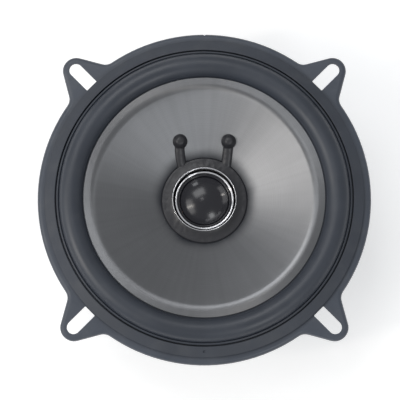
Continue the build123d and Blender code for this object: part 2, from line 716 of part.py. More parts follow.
def terminal_board():
    """The insulating board riveted on the basket's tab."""
    board = Pos(0, board_y) * RectangleRounded(BOARD_WIDTH, BOARD_LENGTH, BOARD_CORNER_R)
    board -= Pos(0, board_y) * Circle(BOARD_RIVET_R + BOARD_RIVET_FIT)
    for x in (-spade_x, spade_x):
        board -= Pos(x, board_rivet_y) * Circle(BOARD_RIVET_R + BOARD_RIVET_FIT)
        board -= Pos(x, lug_y) * Circle(TWEETER_WIRE_R + 2 * POST_FIT)
    return Pos(0, 0, ledge_z) * extrude(board, BOARD_THICKNESS)


def spade(x, width):
    """A push-on terminal blade with a solder lug at its inner end."""
    blade = Pos(x, (spade_start_y + spade_end_y) / 2) * Rectangle(width, SPADE_LENGTH)
    tip = blade.vertices().sort_by(Axis.Y)[-2:]
    blade = chamfer(tip, SPADE_CORNER)
    blade -= Pos(x, spade_end_y - SPADE_OVERHANG / 2) * Circle(SPADE_HOLE_R)
    blade -= Pos(x, board_rivet_y) * Circle(BOARD_RIVET_R + BOARD_RIVET_FIT)
    blade -= Pos(x, lug_y) * Circle(LUG_HOLE_R)
    return Pos(0, 0, board_top_z) * extrude(blade, SPADE_THICKNESS)


def board_rivet(x, y, low_z, high_z):
    """A rivet with a head on each side of a stack of sheets."""
    shank = disc(BOARD_RIVET_R, low_z, high_z)
    heads = disc(BOARD_RIVET_HEAD_R, low_z - BOARD_RIVET_HEAD_HEIGHT, low_z)
    heads += disc(BOARD_RIVET_HEAD_R, high_z, high_z + BOARD_RIVET_HEAD_HEIGHT)
    return Pos(x, y, 0) * (shank + heads)


def tweeter_wire(side, tail):
    """One tweeter wire: from its tag into the post, back through the pole, along the groove and up."""
    tag_side = tag_x() - TAG_THICKNESS / 2 - TWEETER_WIRE_R - WIRE_SIT
    slot_z = post_slot_z + POST_SLOT_HEIGHT - 2 * TWEETER_WIRE_R
    low_z = TWEETER_WIRE_R + WIRE_FLOOR_GAP
    out_y = MAGNET_R + WIRE_MAGNET_GAP + TWEETER_WIRE_R
    x = side * TWEETER_WIRE_SPREAD
    points = [
        (side * tag_side, 0, wafer_z - TWEETER_WIRE_R),
        (side * tag_side, 0, slot_z),
        (x, 0, slot_z),
        (x, 0, low_z),
        (x, out_y, low_z),
    ]
    bends = [WIRE_TAG_BEND_R, WIRE_BEND_R, WIRE_BEND_R, WIRE_BEND_R]
    rise = [(x, out_y, gap_top_z), *tail]
    bends += bend_radii([(x, out_y, top_plate_z), *rise])
    return wire(points + rise, TWEETER_WIRE_R, bends)


def tweeter_wire_plain():
    """The wire from the terminal board's narrow lug."""
    tail = [
        (-spade_x, lug_y, gap_top_z + WIRE_BEND_R),
        (-spade_x, lug_y, board_top_z - WIRE_SIT),
    ]
    return tweeter_wire(-1, tail)


def capacitor_places():
    """The capacitor's centre and its axis, which runs round the basket under a spoke."""
    slope = basket_wall_slope()
    wall_r = ledge_outer_r + CAPACITOR_RUN
    wall_z = ledge_z - SHEET / 2 + CAPACITOR_RUN * math.tan(slope)
    away = SHEET / 2 + CAPACITOR_PAD_GAP + CAPACITOR_R
    radius = wall_r + away * math.sin(slope)
    height = wall_z - away * math.cos(slope)
    x, y = polar(radius, CAPACITOR_ANGLE)
    tangent = polar(1, CAPACITOR_ANGLE + 90)
    return Vector(x, y, height), Vector(*tangent, 0), slope


def capacitor():
    """The bipolar capacitor in its sleeve, with a rim rolled in at one end."""
    centre, along, _ = capacitor_places()
    body = Cylinder(CAPACITOR_R, CAPACITOR_LENGTH)
    body = fillet(body.edges().filter_by(GeomType.CIRCLE), CAPACITOR_RIM)
    groove = Torus(CAPACITOR_R + CAPACITOR_RIM / 2, CAPACITOR_RIM)
    body -= Pos(0, 0, CAPACITOR_LENGTH / 2 - CAPACITOR_GROOVE_INSET) * groove
    return Plane(origin=centre, z_dir=along) * body


def capacitor_pad():
    """The adhesive between the capacitor and the spoke."""
    centre, along, slope = capacitor_places()
    inward = polar(-math.sin(slope), CAPACITOR_ANGLE)
    up = Vector(*inward, math.cos(slope))
    height = CAPACITOR_R / 2 + CAPACITOR_PAD_GAP
    base = centre + up * (CAPACITOR_R / 2 + height / 2)
    block = Box(CAPACITOR_PAD_WIDTH, CAPACITOR_PAD_LENGTH, height)
    block = Plane(origin=base, x_dir=up.cross(along), z_dir=up) * block
    return block - capacitor() - basket_skin()


def basket_skin():
    """The basket's slanted wall and all that is inside it, for trimming what is stuck on its outside."""
    wall_foot_r = rim_r - RIM_WALL_LEAN
    drop = SHEET / 2 / math.cos(basket_wall_slope())
    return turned([
        (0, ledge_z - SHEET / 2 - drop),
        (ledge_outer_r, ledge_z - SHEET / 2 - drop),
        (wall_foot_r, flange_z - RIM_WALL_HEIGHT - drop),
        (wall_foot_r, flange_z),
        (0, flange_z),
    ])


def capacitor_leads():
    """The capacitor's two leads: one up to the wide lug, one down to the splice."""
    centre, along, _ = capacitor_places()
    near = centre + along * (CAPACITOR_LENGTH / 2)
    far = centre - along * (CAPACITOR_LENGTH / 2)
    stub = CAPACITOR_R / 2
    knee = near + along * stub
    rest_z = lug_z + COMPONENT_LEAD_R + WIRE_SIT
    lug = (spade_x + LUG_HOLE_R + COMPONENT_LEAD_R, lug_y, rest_z)
    over = (BOARD_WIDTH / 2 + SPADE_THICKNESS, (knee.Y + lug_y) / 2, rest_z + SPADE_THICKNESS / 2)
    to_lug = wire([near, knee, over, lug], COMPONENT_LEAD_R)
    elbow = far - along * stub
    down = (elbow.X, elbow.Y, elbow.Z - CAPACITOR_R)
    to_splice = wire([far, elbow, down], COMPONENT_LEAD_R)
    return [to_lug, to_splice]


def splice_place():
    """The point where the capacitor's lead meets the tweeter's other wire."""
    centre, along, _ = capacitor_places()
    elbow = centre - along * (CAPACITOR_LENGTH / 2 + CAPACITOR_R / 2)
    return Vector(elbow.X, elbow.Y, elbow.Z - CAPACITOR_R - WIRE_SIT)


def splice_sleeve():
    """The sleeve over the splice."""
    end = splice_place()
    tube = Cylinder(SPLICE_R, CAPACITOR_R)
    tube -= Cylinder(TWEETER_WIRE_R + POST_FIT / 2, CAPACITOR_R + 1)
    return Pos(*end) * tube


def tweeter_wire_striped():
    """The wire that reaches the tweeter through the capacitor."""
    end = splice_place()
    low = gap_top_z + TWEETER_WIRE_R
    out_r = MAGNET_R + CAPACITOR_R
    halfway_r = (out_r + math.hypot(end.X, end.Y)) / 2
    halfway_angle = (WIRE_TURN_ANGLE + CAPACITOR_ANGLE) / 2
    tail = [
        (*polar(out_r, WIRE_TURN_ANGLE), low),
        (*polar(halfway_r, halfway_angle), low),
        (end.X, end.Y, low),
        (end.X, end.Y, end.Z),
    ]
    return tweeter_wire(1, tail)


def tinsel_lead(side):
    """A braided lead that hangs from the cone's eyelet to its lug."""
    x, y, z = eyelet_places()[0 if side < 0 else 1]
    start_z = z - CONE_WALL / math.cos(cone_slope()) - EYELET_TAIL - WIRE_SIT
    rest_z = lug_z + TINSEL_R + WIRE_SIT
    end_x = side * (spade_x - LUG_HOLE_R)
    span = lug_y - y
    sweep_x = end_x - x
    points = [
        (x, y, start_z),
        (x, y, start_z - TINSEL_DROP),
        (x + sweep_x * TINSEL_NEAR, y + span * TINSEL_NEAR, rest_z + TINSEL_HUMP),
        (x + sweep_x * TINSEL_FAR, y + span * TINSEL_FAR, rest_z + TINSEL_HUMP_END),
        (end_x, lug_y, rest_z),
    ]
    return wire(points, TINSEL_R)


def solder_joints():
    """The solder over each lug's hole, round the ends of the leads."""
    joints = []
    for side in (-1, 1):
        drop = Pos(side * spade_x, lug_y, lug_z) * Sphere(SOLDER_R)
        room = Box(4 * SOLDER_R, 4 * SOLDER_R, SOLDER_HEIGHT)
        drop &= Pos(side * spade_x, lug_y, lug_z + SOLDER_HEIGHT / 2) * room
        drop -= tinsel_lead(side)
        if side > 0:
            drop -= capacitor_leads()[0]
        joints.append(drop)
    return joints


def pieces():
    """Every node's solids, by name."""
    coil_low_z = tweeter_gap_mid_z - TWEETER_WINDING_HEIGHT / 2
    coil_high_z = tweeter_gap_mid_z + TWEETER_WINDING_HEIGHT / 2
    return {
        "basket": basket(),
        "gasket_ring": gasket_ring(),
        "surround": surround(),
        "spider": spider(),
        "top_plate": top_plate(),
        "ring_magnet": ring_magnet(),
        "yoke": yoke(),
        "staking_rivets": staking_rivets(),
        "cone": cone(),
        "voice_coil_former": voice_coil_former(),
        "voice_coil_winding": voice_coil_winding(),
        "spider_collar": spider_collar(),
        "neck_ring": neck_ring(),
        "lead_track_left": lead_track(-1, TRACK_BOW_LEFT),
        "lead_track_right": lead_track(1, TRACK_BOW_RIGHT),
        "cone_eyelets": cone_eyelets(),
        "tinsel_lead_left": tinsel_lead(-1),
        "tinsel_lead_right": tinsel_lead(1),
        "tweeter_cup": tweeter_cup(),
        "tweeter_magnet": disc(tweeter_magnet_r, cup_inside_z, tweeter_plate_z),
        "tweeter_pole_plate": disc(tweeter_plate_r, tweeter_plate_z, tweeter_plate_top_z),
        "tweeter_damping_pad": disc(damping_pad_r, tweeter_plate_top_z, damping_pad_top_z),
        "tweeter_former": ring(tweeter_former_r, tweeter_bore_r, coil_low_z, diaphragm_z),
        "tweeter_winding": ring(tweeter_winding_r, tweeter_former_r, coil_low_z, coil_high_z),
        "tweeter_dome": tweeter_dome(),
        "tweeter_surround": tweeter_surround(),
        "diaphragm_ring": ring(cup_r, cup_bore_r, cup_top_z, diaphragm_z),
        "trim_ring": trim_ring(),
        "tweeter_wafer": disc(cup_r - WAFER_INSET, wafer_z, cup_z),
        "tweeter_tags": tweeter_tags(),
        "tweeter_post": tweeter_post(),
        "post_nut": post_nut(),
        "post_washer": post_washer(),
        "tweeter_wire_plain": tweeter_wire_plain(),
        "tweeter_wire_striped": tweeter_wire_striped(),
        "terminal_board": terminal_board(),
        "spade_wide": spade(spade_x, SPADE_WIDE),
        "spade_narrow": spade(-spade_x, SPADE_NARROW),
        "spade_rivets": [board_rivet(x, board_rivet_y, ledge_z, lug_z) for x in (-spade_x, spade_x)],
        "board_rivet": board_rivet(0, board_y, ledge_z - SHEET, board_top_z),
        "solder_joints": solder_joints(),
        "capacitor": capacitor(),
        "capacitor_pad": capacitor_pad(),
        "capacitor_leads": capacitor_leads(),
        "splice_sleeve": splice_sleeve(),
    }


def solids_of(piece):
    """A node's solids as one shape to write."""
    parts = piece if isinstance(piece, list) else [piece]
    solids = [s for p in parts for s in p.solids()]
    return solids[0] if len(solids) == 1 else Compound(solids)


os.makedirs("parts", exist_ok=True)
for name, piece in pieces().items():
    export_step(solids_of(piece), f"parts/{name}.step")
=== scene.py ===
import math
from functools import lru_cache

import bpy
from bpy.props import FloatProperty, FloatVectorProperty, IntProperty, PointerProperty
from bpy.types import Operator, Panel, PropertyGroup
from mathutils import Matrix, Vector, noise


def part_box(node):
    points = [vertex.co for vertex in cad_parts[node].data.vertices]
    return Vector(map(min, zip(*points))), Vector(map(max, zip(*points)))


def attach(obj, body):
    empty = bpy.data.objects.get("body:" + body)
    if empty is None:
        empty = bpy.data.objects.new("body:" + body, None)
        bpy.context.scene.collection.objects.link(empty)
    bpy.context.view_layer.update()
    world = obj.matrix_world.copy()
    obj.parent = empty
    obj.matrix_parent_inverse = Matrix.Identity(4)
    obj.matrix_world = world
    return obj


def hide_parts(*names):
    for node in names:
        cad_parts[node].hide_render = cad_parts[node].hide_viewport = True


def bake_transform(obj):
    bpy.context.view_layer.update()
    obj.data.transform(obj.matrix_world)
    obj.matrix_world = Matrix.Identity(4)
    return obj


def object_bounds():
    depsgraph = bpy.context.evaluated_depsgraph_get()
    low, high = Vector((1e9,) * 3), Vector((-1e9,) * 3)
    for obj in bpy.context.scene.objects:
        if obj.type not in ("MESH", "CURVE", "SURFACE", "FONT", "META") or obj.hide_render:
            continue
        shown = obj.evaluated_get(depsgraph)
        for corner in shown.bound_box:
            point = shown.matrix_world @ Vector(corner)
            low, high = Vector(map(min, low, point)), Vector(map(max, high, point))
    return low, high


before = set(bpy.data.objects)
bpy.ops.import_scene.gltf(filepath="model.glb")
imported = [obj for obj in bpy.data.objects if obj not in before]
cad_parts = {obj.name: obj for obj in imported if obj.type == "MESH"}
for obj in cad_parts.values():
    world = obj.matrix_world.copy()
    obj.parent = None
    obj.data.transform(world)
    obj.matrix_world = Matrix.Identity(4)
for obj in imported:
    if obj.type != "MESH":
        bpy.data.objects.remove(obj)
cad_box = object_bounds()

bl_info = {
    "name": "Coaxial car speaker",
    "version": (1, 0, 0),
    "blender": (4, 5, 0),
    "location": "3D View > Sidebar > Speaker",
    "description": "Finishes a round car speaker: cone, rubber surround, spider, tweeter, wiring and stage",
    "category": "Add Mesh",
}

CHASSIS = "chassis"
CONE_BODY = "cone_assembly"
DOME_BODY = "tweeter_diaphragm"
SEED_SIZE = 0.0001          # the square that is merged to a turned outline's first point
MERGE = 1e-7
SMOOTH_ANGLE = math.radians(32)


# ---------------------------------------------------------------- sizes and colours

def length(name, description, default, low=0.00001, high=0.2):
    return FloatProperty(
        name=name, description=description, default=default, min=low, max=high, unit="LENGTH", precision=5
    )


def colour(name, description, default):
    return FloatVectorProperty(
        name=name, description=description, default=default, min=0, max=1, size=3, subtype="COLOR"
    )


class SurroundSizes(PropertyGroup):
    rubber: length("Rubber", "Thickness of the rubber", 0.0007)
    roll_width: length("Roll width", "Width of the half roll, outside to outside", 0.0093)
    foot_bend: length("Foot bend", "Bend where the roll meets its lips", 0.0004)
    bead: length("Bead", "Radius of the bead at the roll's outer foot", 0.0005)
    groove: length("Groove", "Gap from the bead to the gasket", 0.00045)
    inner_lip: length("Inner lip", "Width glued under the cone's lip", 0.0034)


class ConeSizes(PropertyGroup):
    wall: length("Wall", "Thickness of the cone", 0.0005)
    lip: length("Lip", "Width of the flat lip", 0.0039)
    bend: length("Bend", "Bend between the slope and the lip", 0.0015)
    depth: length("Depth", "From the lip down to the neck ring's outer edge", 0.012)
    track_width: length("Track width", "Width of the cement over each lead", 0.0036)
    track_height: length("Track height", "Height of the cement over each lead", 0.0011)
    blob: length("Blob", "Radius of the cement over each eyelet", 0.00265)
    blob_angle: FloatProperty(
        name="Blob angle", description="Angle of each blob from the terminal side", default=math.radians(22.6),
        subtype="ANGLE",
    )
    root_angle: FloatProperty(
        name="Root angle", description="Angle where each track leaves the neck", default=math.radians(33.0),
        subtype="ANGLE",
    )
    blob_margin: length("Blob margin", "From the neck ring's edge to the blob's centre", 0.0079)


class SpiderSizes(PropertyGroup):
    wall: length("Wall", "Thickness of the cloth", 0.0004)
    rolls: IntProperty(name="Rolls", description="Number of corrugations", default=5, min=2, max=12)
    inner_land: length("Inner land", "Flat cloth at the collar", 0.0026)
    outer_land: length("Outer land", "Flat cloth on the ledge", 0.0036)


class WireSizes(PropertyGroup):
    tinsel: length("Tinsel lead", "Outside radius of each braided lead", 0.00055)
    strands: IntProperty(name="Strands", description="Strands twisted in each lead", default=4, min=3, max=8)
    twists: FloatProperty(name="Twists", description="Turns of the strands along a lead", default=11.0, min=1, max=40)


class SpeakerColours(PropertyGroup):
    paint: colour("Paint", "Basket and flange", (0.050, 0.059, 0.078))
    gasket: colour("Gasket", "Front gasket", (0.035, 0.041, 0.054))
    rubber: colour("Rubber", "Surround", (0.030, 0.036, 0.049))
    cone: colour("Cone", "Silvered cone", (0.203, 0.206, 0.214))
    cement: colour("Cement", "Neck ring and lead tracks", (0.008, 0.010, 0.015))
    cloth: colour("Spider cloth", "Centring disc", (0.50, 0.33, 0.12))
    dome: colour("Dome", "Tweeter dome", (0.005, 0.006, 0.009))
    steel: colour("Plated steel", "Yoke, top plate, nut and washer", (0.60, 0.59, 0.56))
    ferrite: colour("Ferrite", "Ring magnet", (0.045, 0.046, 0.05))
    copper: colour("Copper", "Windings", (0.70, 0.30, 0.16))
    board: colour("Board", "Terminal board and tweeter wafer", (0.10, 0.055, 0.030))
    sleeve: colour("Sleeve", "Capacitor", (0.015, 0.05, 0.18))
    floor: colour("Floor", "Studio floor", (0.90, 0.90, 0.90))


class StageSettings(PropertyGroup):
    distance: length("Camera distance", "From the camera to the flange", 0.69, 0.1, 5)
    frame_width: length("Frame width", "Width of the view at the flange", 0.1556, 0.05, 2)
    elevation: FloatProperty(
        name="Elevation", description="Camera's angle above the horizon", default=math.radians(82.5),
        subtype="ANGLE",
    )
    shift_x: FloatProperty(name="Shift X", description="Camera shift sideways", default=-0.0109)
    shift_y: FloatProperty(name="Shift Y", description="Camera shift upwards", default=-0.0062)
    world: FloatProperty(name="Room light", description="Strength of the even light", default=0.50, min=0)
    left: FloatProperty(name="Left light", description="Power of the big soft light", default=6.5, unit="POWER")
    back: FloatProperty(name="Back light", description="Power of the soft light behind", default=2.5, unit="POWER")
    top: FloatProperty(name="Top light", description="Power of the overhead light", default=0.3, unit="POWER")
    strip: FloatProperty(name="Strip light", description="Power of the narrow light", default=2.4, unit="POWER")
    right: FloatProperty(name="Front right light", description="Power of the soft light in front", default=3.0, unit="POWER")
    floor_glow: FloatProperty(name="Floor glow", description="Light given back by the floor", default=0.33, min=0)


# ---------------------------------------------------------------- modelling helpers

@lru_cache(maxsize=None)
def box(name):
    """A CAD node's lowest and highest corner, measured once."""
    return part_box(name)


@lru_cache(maxsize=None)
def inner_radius(name):
    """The smallest radius of a CAD node about the axis."""
    return min(math.hypot(v.co.x, v.co.y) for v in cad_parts[name].data.vertices)


def deselect():
    for piece in bpy.context.selected_objects:
        piece.select_set(False)


def only(piece):
    deselect()
    piece.select_set(True)
    bpy.context.view_layer.objects.active = piece


def settle(piece, name):
    """Names a finished piece and leaves its object at the origin, with its place in its mesh."""
    only(piece)
    bpy.ops.object.transform_apply(location=True, rotation=True, scale=True)
    piece.name = name
    piece.data.name = name
    return piece


def turned(name, outline, steps=192, closed=True):
    """A solid turned about the axis. An outline that isn't closed begins and ends on the axis."""
    deselect()
    radius, height = outline[0]
    bpy.ops.mesh.primitive_plane_add(size=SEED_SIZE, location=(radius, 0, height))
    piece = bpy.context.object
    bpy.ops.object.mode_set(mode="EDIT")
    bpy.ops.mesh.select_all(action="SELECT")
    bpy.ops.mesh.merge(type="CENTER")
    for (r0, z0), (r1, z1) in zip(outline, outline[1:]):
        bpy.ops.mesh.extrude_region_move(TRANSFORM_OT_translate={"value": (r1 - r0, 0, z1 - z0)})
    bpy.ops.mesh.select_all(action="SELECT")
    if closed:
        bpy.ops.mesh.edge_face_add()
        bpy.ops.mesh.delete(type="ONLY_FACE")
        bpy.ops.mesh.select_all(action="SELECT")
    bpy.ops.mesh.spin(steps=steps, angle=math.tau, center=(0, 0, 0), axis=(0, 0, 1))
    bpy.ops.mesh.select_all(action="SELECT")
    bpy.ops.mesh.remove_doubles(threshold=MERGE)
    bpy.ops.mesh.normals_make_consistent(inside=False)
    bpy.ops.object.mode_set(mode="OBJECT")
    only(piece)
    bpy.ops.object.shade_smooth_by_angle(angle=SMOOTH_ANGLE)
    return settle(piece, name)


def arc(centre, radius, first, last, count):
    """Points along an arc of an outline, with its angles in degrees from outwards."""
    angles = [math.radians(first + (last - first) * i / count) for i in range(count + 1)]
    return [(centre[0] + radius * math.cos(a), centre[1] + radius * math.sin(a)) for a in angles]


def softened(points, bend, count=5):
    """An outline's line with each inner corner bent."""
    line = [points[0]]
    for before, here, after in zip(points, points[1:], points[2:]):
        p, q, s = Vector(before), Vector(here), Vector(after)
        into, out = (p - q), (s - q)
        reach = min(bend, 0.45 * into.length, 0.45 * out.length)
        a, b = q + into.normalized() * reach, q + out.normalized() * reach
        for i in range(count + 1):
            t = i / count
            line.append(tuple(a * (1 - t) ** 2 + q * 2 * t * (1 - t) + b * t**2))
    line.append(points[-1])
    return line


def sheet_outline(line, wall):
    """The closed outline of a thin sheet about its middle line."""
    near, far = [], []
    for i, here in enumerate(line):
        before, after = Vector(line[max(i - 1, 0)]), Vector(line[min(i + 1, len(line) - 1)])
        q = Vector(here)
        into = (q - before).normalized() if i else (after - q).normalized()
        out = (after - q).normalized() if i < len(line) - 1 else into
        along = (into + out).normalized()
        side = Vector((-along.y, along.x)) * wall / 2 / max(along.dot(into), 0.5)
        near.append(tuple(q + side))
        far.append(tuple(q - side))
    return near + far[::-1]


def rounded_rim(bottom, outer_r, inner_r, top, bend, count=6):
    """The closed outline of a ring with both top edges rounded."""
    line = [(inner_r, bottom), (outer_r, bottom)]
    line += arc((outer_r - bend, top - bend), bend, 0, 90, count)
    line += arc((inner_r + bend, top - bend), bend, 90, 180, count)
    return line


def smooth_step(t):
    t = min(max(t, 0.0), 1.0)
    return t * t * (3 - 2 * t)


def blend_by_radius(piece):
    """Bakes the piece's transform into its mesh."""
    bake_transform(piece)


def dress(piece, material):
    """Gives the whole piece one material."""
    piece.data.materials.clear()
    piece.data.materials.append(material)


def dress_node(node, material):
    dress(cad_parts[node], material)


def stand_for(piece, material, slot, body, *nodes):
    """A finished piece that rides on a body and takes the place of CAD nodes."""
    dress(piece, material)
    if body:
        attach(piece, body)
    if nodes:
        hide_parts(*nodes)
    return piece


# ---------------------------------------------------------------- material helpers

def node(tree, kind, **settings):
    made = tree.nodes.new(kind)
    for key, value in settings.items():
        setattr(made, key, value)
    return made


def feed(tree, socket, value):
    if isinstance(value, bpy.types.NodeSocket):
        tree.links.new(value, socket)
    else:
        socket.default_value = value


def calc(tree, operation, *values, clamp=False):
    made = node(tree, "ShaderNodeMath", operation=operation, use_clamp=clamp)
    for socket, value in zip(made.inputs, values):
        feed(tree, socket, value)
    return made.outputs[0]


def ramp_value(tree, value, low, high, to_low=0.0, to_high=1.0):
    made = node(tree, "ShaderNodeMapRange", interpolation_type="SMOOTHSTEP")
    limits = {"Value": value, "From Min": low, "From Max": high, "To Min": to_low, "To Max": to_high}
    for name, given in limits.items():
        feed(tree, made.inputs[name], given)
    return made.outputs["Result"]


def mix(tree, factor, first, second):
    made = node(tree, "ShaderNodeMix", data_type="RGBA")
    feed(tree, made.inputs["Factor"], factor)
    feed(tree, made.inputs[6], first)
    feed(tree, made.inputs[7], second)
    return made.outputs[2]


def opaque(value):
    return (value[0], value[1], value[2], 1.0)


def shade(value, amount):
    return tuple(min(c * amount, 1.0) for c in value)


def new_group(name, inputs, outputs):
    tree = bpy.data.node_groups.new(name, "ShaderNodeTree")
    for label, default in inputs:
        made = tree.interface.new_socket(label, in_out="INPUT", socket_type="NodeSocketFloat")
        made.default_value = default
    for label in outputs:
        tree.interface.new_socket(label, in_out="OUTPUT", socket_type="NodeSocketFloat")
    return tree, node(tree, "NodeGroupInput"), node(tree, "NodeGroupOutput")


def grain_group():
    """Fine grain over broad soft blotches."""
    tree, given, made = new_group("Fine grain", [("Scale", 2500.0), ("Blotch Scale", 90.0)], ["Grain", "Blotch"])
    place = node(tree, "ShaderNodeTexCoord").outputs["Object"]
    for label, scale, detail in (("Grain", "Scale", 4.0), ("Blotch", "Blotch Scale", 3.0)):
        cloud = node(tree, "ShaderNodeTexNoise")
        feed(tree, cloud.inputs["Vector"], place)
        feed(tree, cloud.inputs["Scale"], given.outputs[scale])
        cloud.inputs["Detail"].default_value = detail
        feed(tree, made.inputs[label], ramp_value(tree, cloud.outputs["Fac"], 0.3, 0.7))
    return tree


def rings_group():
    """Fine rings turned about the axis, and faint spokes across them."""
    tree, given, made = new_group("Turned rings", [("Rings", 9000.0), ("Spokes", 9.0)], ["Rings", "Spokes", "Radius"])
    place = node(tree, "ShaderNodeTexCoord").outputs["Object"]
    flat = node(tree, "ShaderNodeVectorMath", operation="MULTIPLY")
    feed(tree, flat.inputs[0], place)
    flat.inputs[1].default_value = (1, 1, 0)
    reach = node(tree, "ShaderNodeVectorMath", operation="LENGTH")
    feed(tree, reach.inputs[0], flat.outputs[0])
    radius = reach.outputs["Value"]
    fine = node(tree, "ShaderNodeTexNoise", noise_dimensions="1D")
    feed(tree, fine.inputs["W"], radius)
    feed(tree, fine.inputs["Scale"], given.outputs["Rings"])
    fine.inputs["Detail"].default_value = 3.0
    unit = node(tree, "ShaderNodeVectorMath", operation="NORMALIZE")
    feed(tree, unit.inputs[0], flat.outputs[0])
    spoke = node(tree, "ShaderNodeTexNoise")
    feed(tree, spoke.inputs["Vector"], unit.outputs[0])
    feed(tree, spoke.inputs["Scale"], given.outputs["Spokes"])
    spoke.inputs["Detail"].default_value = 5.0
    feed(tree, made.inputs["Rings"], ramp_value(tree, fine.outputs["Fac"], 0.25, 0.75))
    feed(tree, made.inputs["Spokes"], ramp_value(tree, spoke.outputs["Fac"], 0.3, 0.7))
    feed(tree, made.inputs["Radius"], radius)
    return tree


def dust_group():
    """Specks and a thin film of dust on what faces up."""
    tree, given, made = new_group("Settled dust", [("Specks", 1500.0), ("Amount", 0.3)], ["Mask"])
    place = node(tree, "ShaderNodeTexCoord").outputs["Object"]
    specks = node(tree, "ShaderNodeTexVoronoi")
    feed(tree, specks.inputs["Vector"], place)
    feed(tree, specks.inputs["Scale"], given.outputs["Specks"])
    film = node(tree, "ShaderNodeTexNoise")
    feed(tree, film.inputs["Vector"], place)
    film.inputs["Scale"].default_value = 140.0
    film.inputs["Detail"].default_value = 6.0
    dots = ramp_value(tree, specks.outputs["Distance"], 0.10, 0.16, 1.0, 0.0)
    cloud = ramp_value(tree, film.outputs["Fac"], 0.45, 0.75)
    facing = node(tree, "ShaderNodeSeparateXYZ")
    feed(tree, facing.inputs[0], node(tree, "ShaderNodeNewGeometry").outputs["Normal"])
    up = ramp_value(tree, facing.outputs["Z"], 0.2, 0.9)
    both = calc(tree, "MAXIMUM", calc(tree, "MULTIPLY", dots, cloud), calc(tree, "MULTIPLY", cloud, 0.35))
    shared = calc(tree, "MULTIPLY", both, up)
    feed(tree, made.inputs["Mask"], calc(tree, "MULTIPLY", shared, given.outputs["Amount"], clamp=True))
    return tree


def weave_group():
    """A plain weave of threads along X and Y, with painted shade in the gaps between threads."""
    tree, given, made = new_group("Cloth weave", [("Threads", 2200.0)], ["Height", "Shade"])
    parts = node(tree, "ShaderNodeSeparateXYZ")
    feed(tree, parts.inputs[0], node(tree, "ShaderNodeTexCoord").outputs["Object"])
    waves = []
    for axis in ("X", "Y"):
        along = calc(tree, "MULTIPLY", parts.outputs[axis], given.outputs["Threads"])
        waves.append(calc(tree, "SINE", calc(tree, "MULTIPLY", along, math.pi)))
    over = calc(tree, "MULTIPLY", waves[0], waves[1])
    feed(tree, made.inputs["Height"], calc(tree, "MULTIPLY_ADD", over, 0.5, 0.5))
    # Painted shade: the colour darkens along the gaps between threads.
    thread_gap_shade = calc(tree, "MULTIPLY", calc(tree, "ABSOLUTE", waves[0]), calc(tree, "ABSOLUTE", waves[1]))
    feed(tree, made.inputs["Shade"], ramp_value(tree, thread_gap_shade, 0.0, 0.35))
    return tree


def effect(name):
    """A shared shader effect, built once."""
    makers = {
        "Fine grain": grain_group,
        "Turned rings": rings_group,
        "Settled dust": dust_group,
        "Cloth weave": weave_group,
    }
    return bpy.data.node_groups.get(name) or makers[name]()


def use_effect(tree, name, **values):
    made = node(tree, "ShaderNodeGroup", node_tree=effect(name))
    for label, value in values.items():
        feed(tree, made.inputs[label.replace("_", " ")], value)
    return made.outputs


def blank_material(name):
    material = bpy.data.materials.new(name)
    material.use_nodes = True
    tree = material.node_tree
    return material, tree, tree.nodes["Principled BSDF"]


def bump(tree, shader, height, strength, distance):
    made = node(tree, "ShaderNodeBump")
    made.inputs["Strength"].default_value = strength
    made.inputs["Distance"].default_value = distance
    feed(tree, made.inputs["Height"], height)
    feed(tree, shader.inputs["Normal"], made.outputs["Normal"])


DUST = (0.42, 0.41, 0.39)


def plain_finish(name, base, rough, metallic=0.0, grain=2500.0, blotch=90.0, variation=0.18, rough_spread=0.12,
                 relief=0.25, depth=0.00002, dust=0.0, coat=0.0, specular=0.5):
    """A moulded, painted, ground or plated finish: tone and gloss vary, with a fine relief and some dust."""
    found = bpy.data.materials.get(name)
    if found:
        return found
    material, tree, shader = blank_material(name)
    looks = use_effect(tree, "Fine grain", Scale=grain, Blotch_Scale=blotch)
    tone = mix(tree, looks["Blotch"], opaque(shade(base, 1 - variation)), opaque(shade(base, 1 + variation)))
    tone = mix(tree, calc(tree, "MULTIPLY", looks["Grain"], 0.35), tone, opaque(shade(base, 1 - 1.4 * variation)))
    gloss = ramp_value(tree, looks["Blotch"], 0.0, 1.0, rough - rough_spread / 2, rough + rough_spread / 2)
    if dust:
        film = use_effect(tree, "Settled dust", Amount=dust)["Mask"]
        tone = mix(tree, film, tone, opaque(DUST))
        gloss = calc(tree, "ADD", gloss, calc(tree, "MULTIPLY", film, 0.4), clamp=True)
    feed(tree, shader.inputs["Base Color"], tone)
    feed(tree, shader.inputs["Roughness"], gloss)
    shader.inputs["Metallic"].default_value = metallic
    shader.inputs["Coat Weight"].default_value = coat
    shader.inputs["Specular IOR Level"].default_value = specular
    bump(tree, shader, looks["Grain"], relief, depth)
    return material


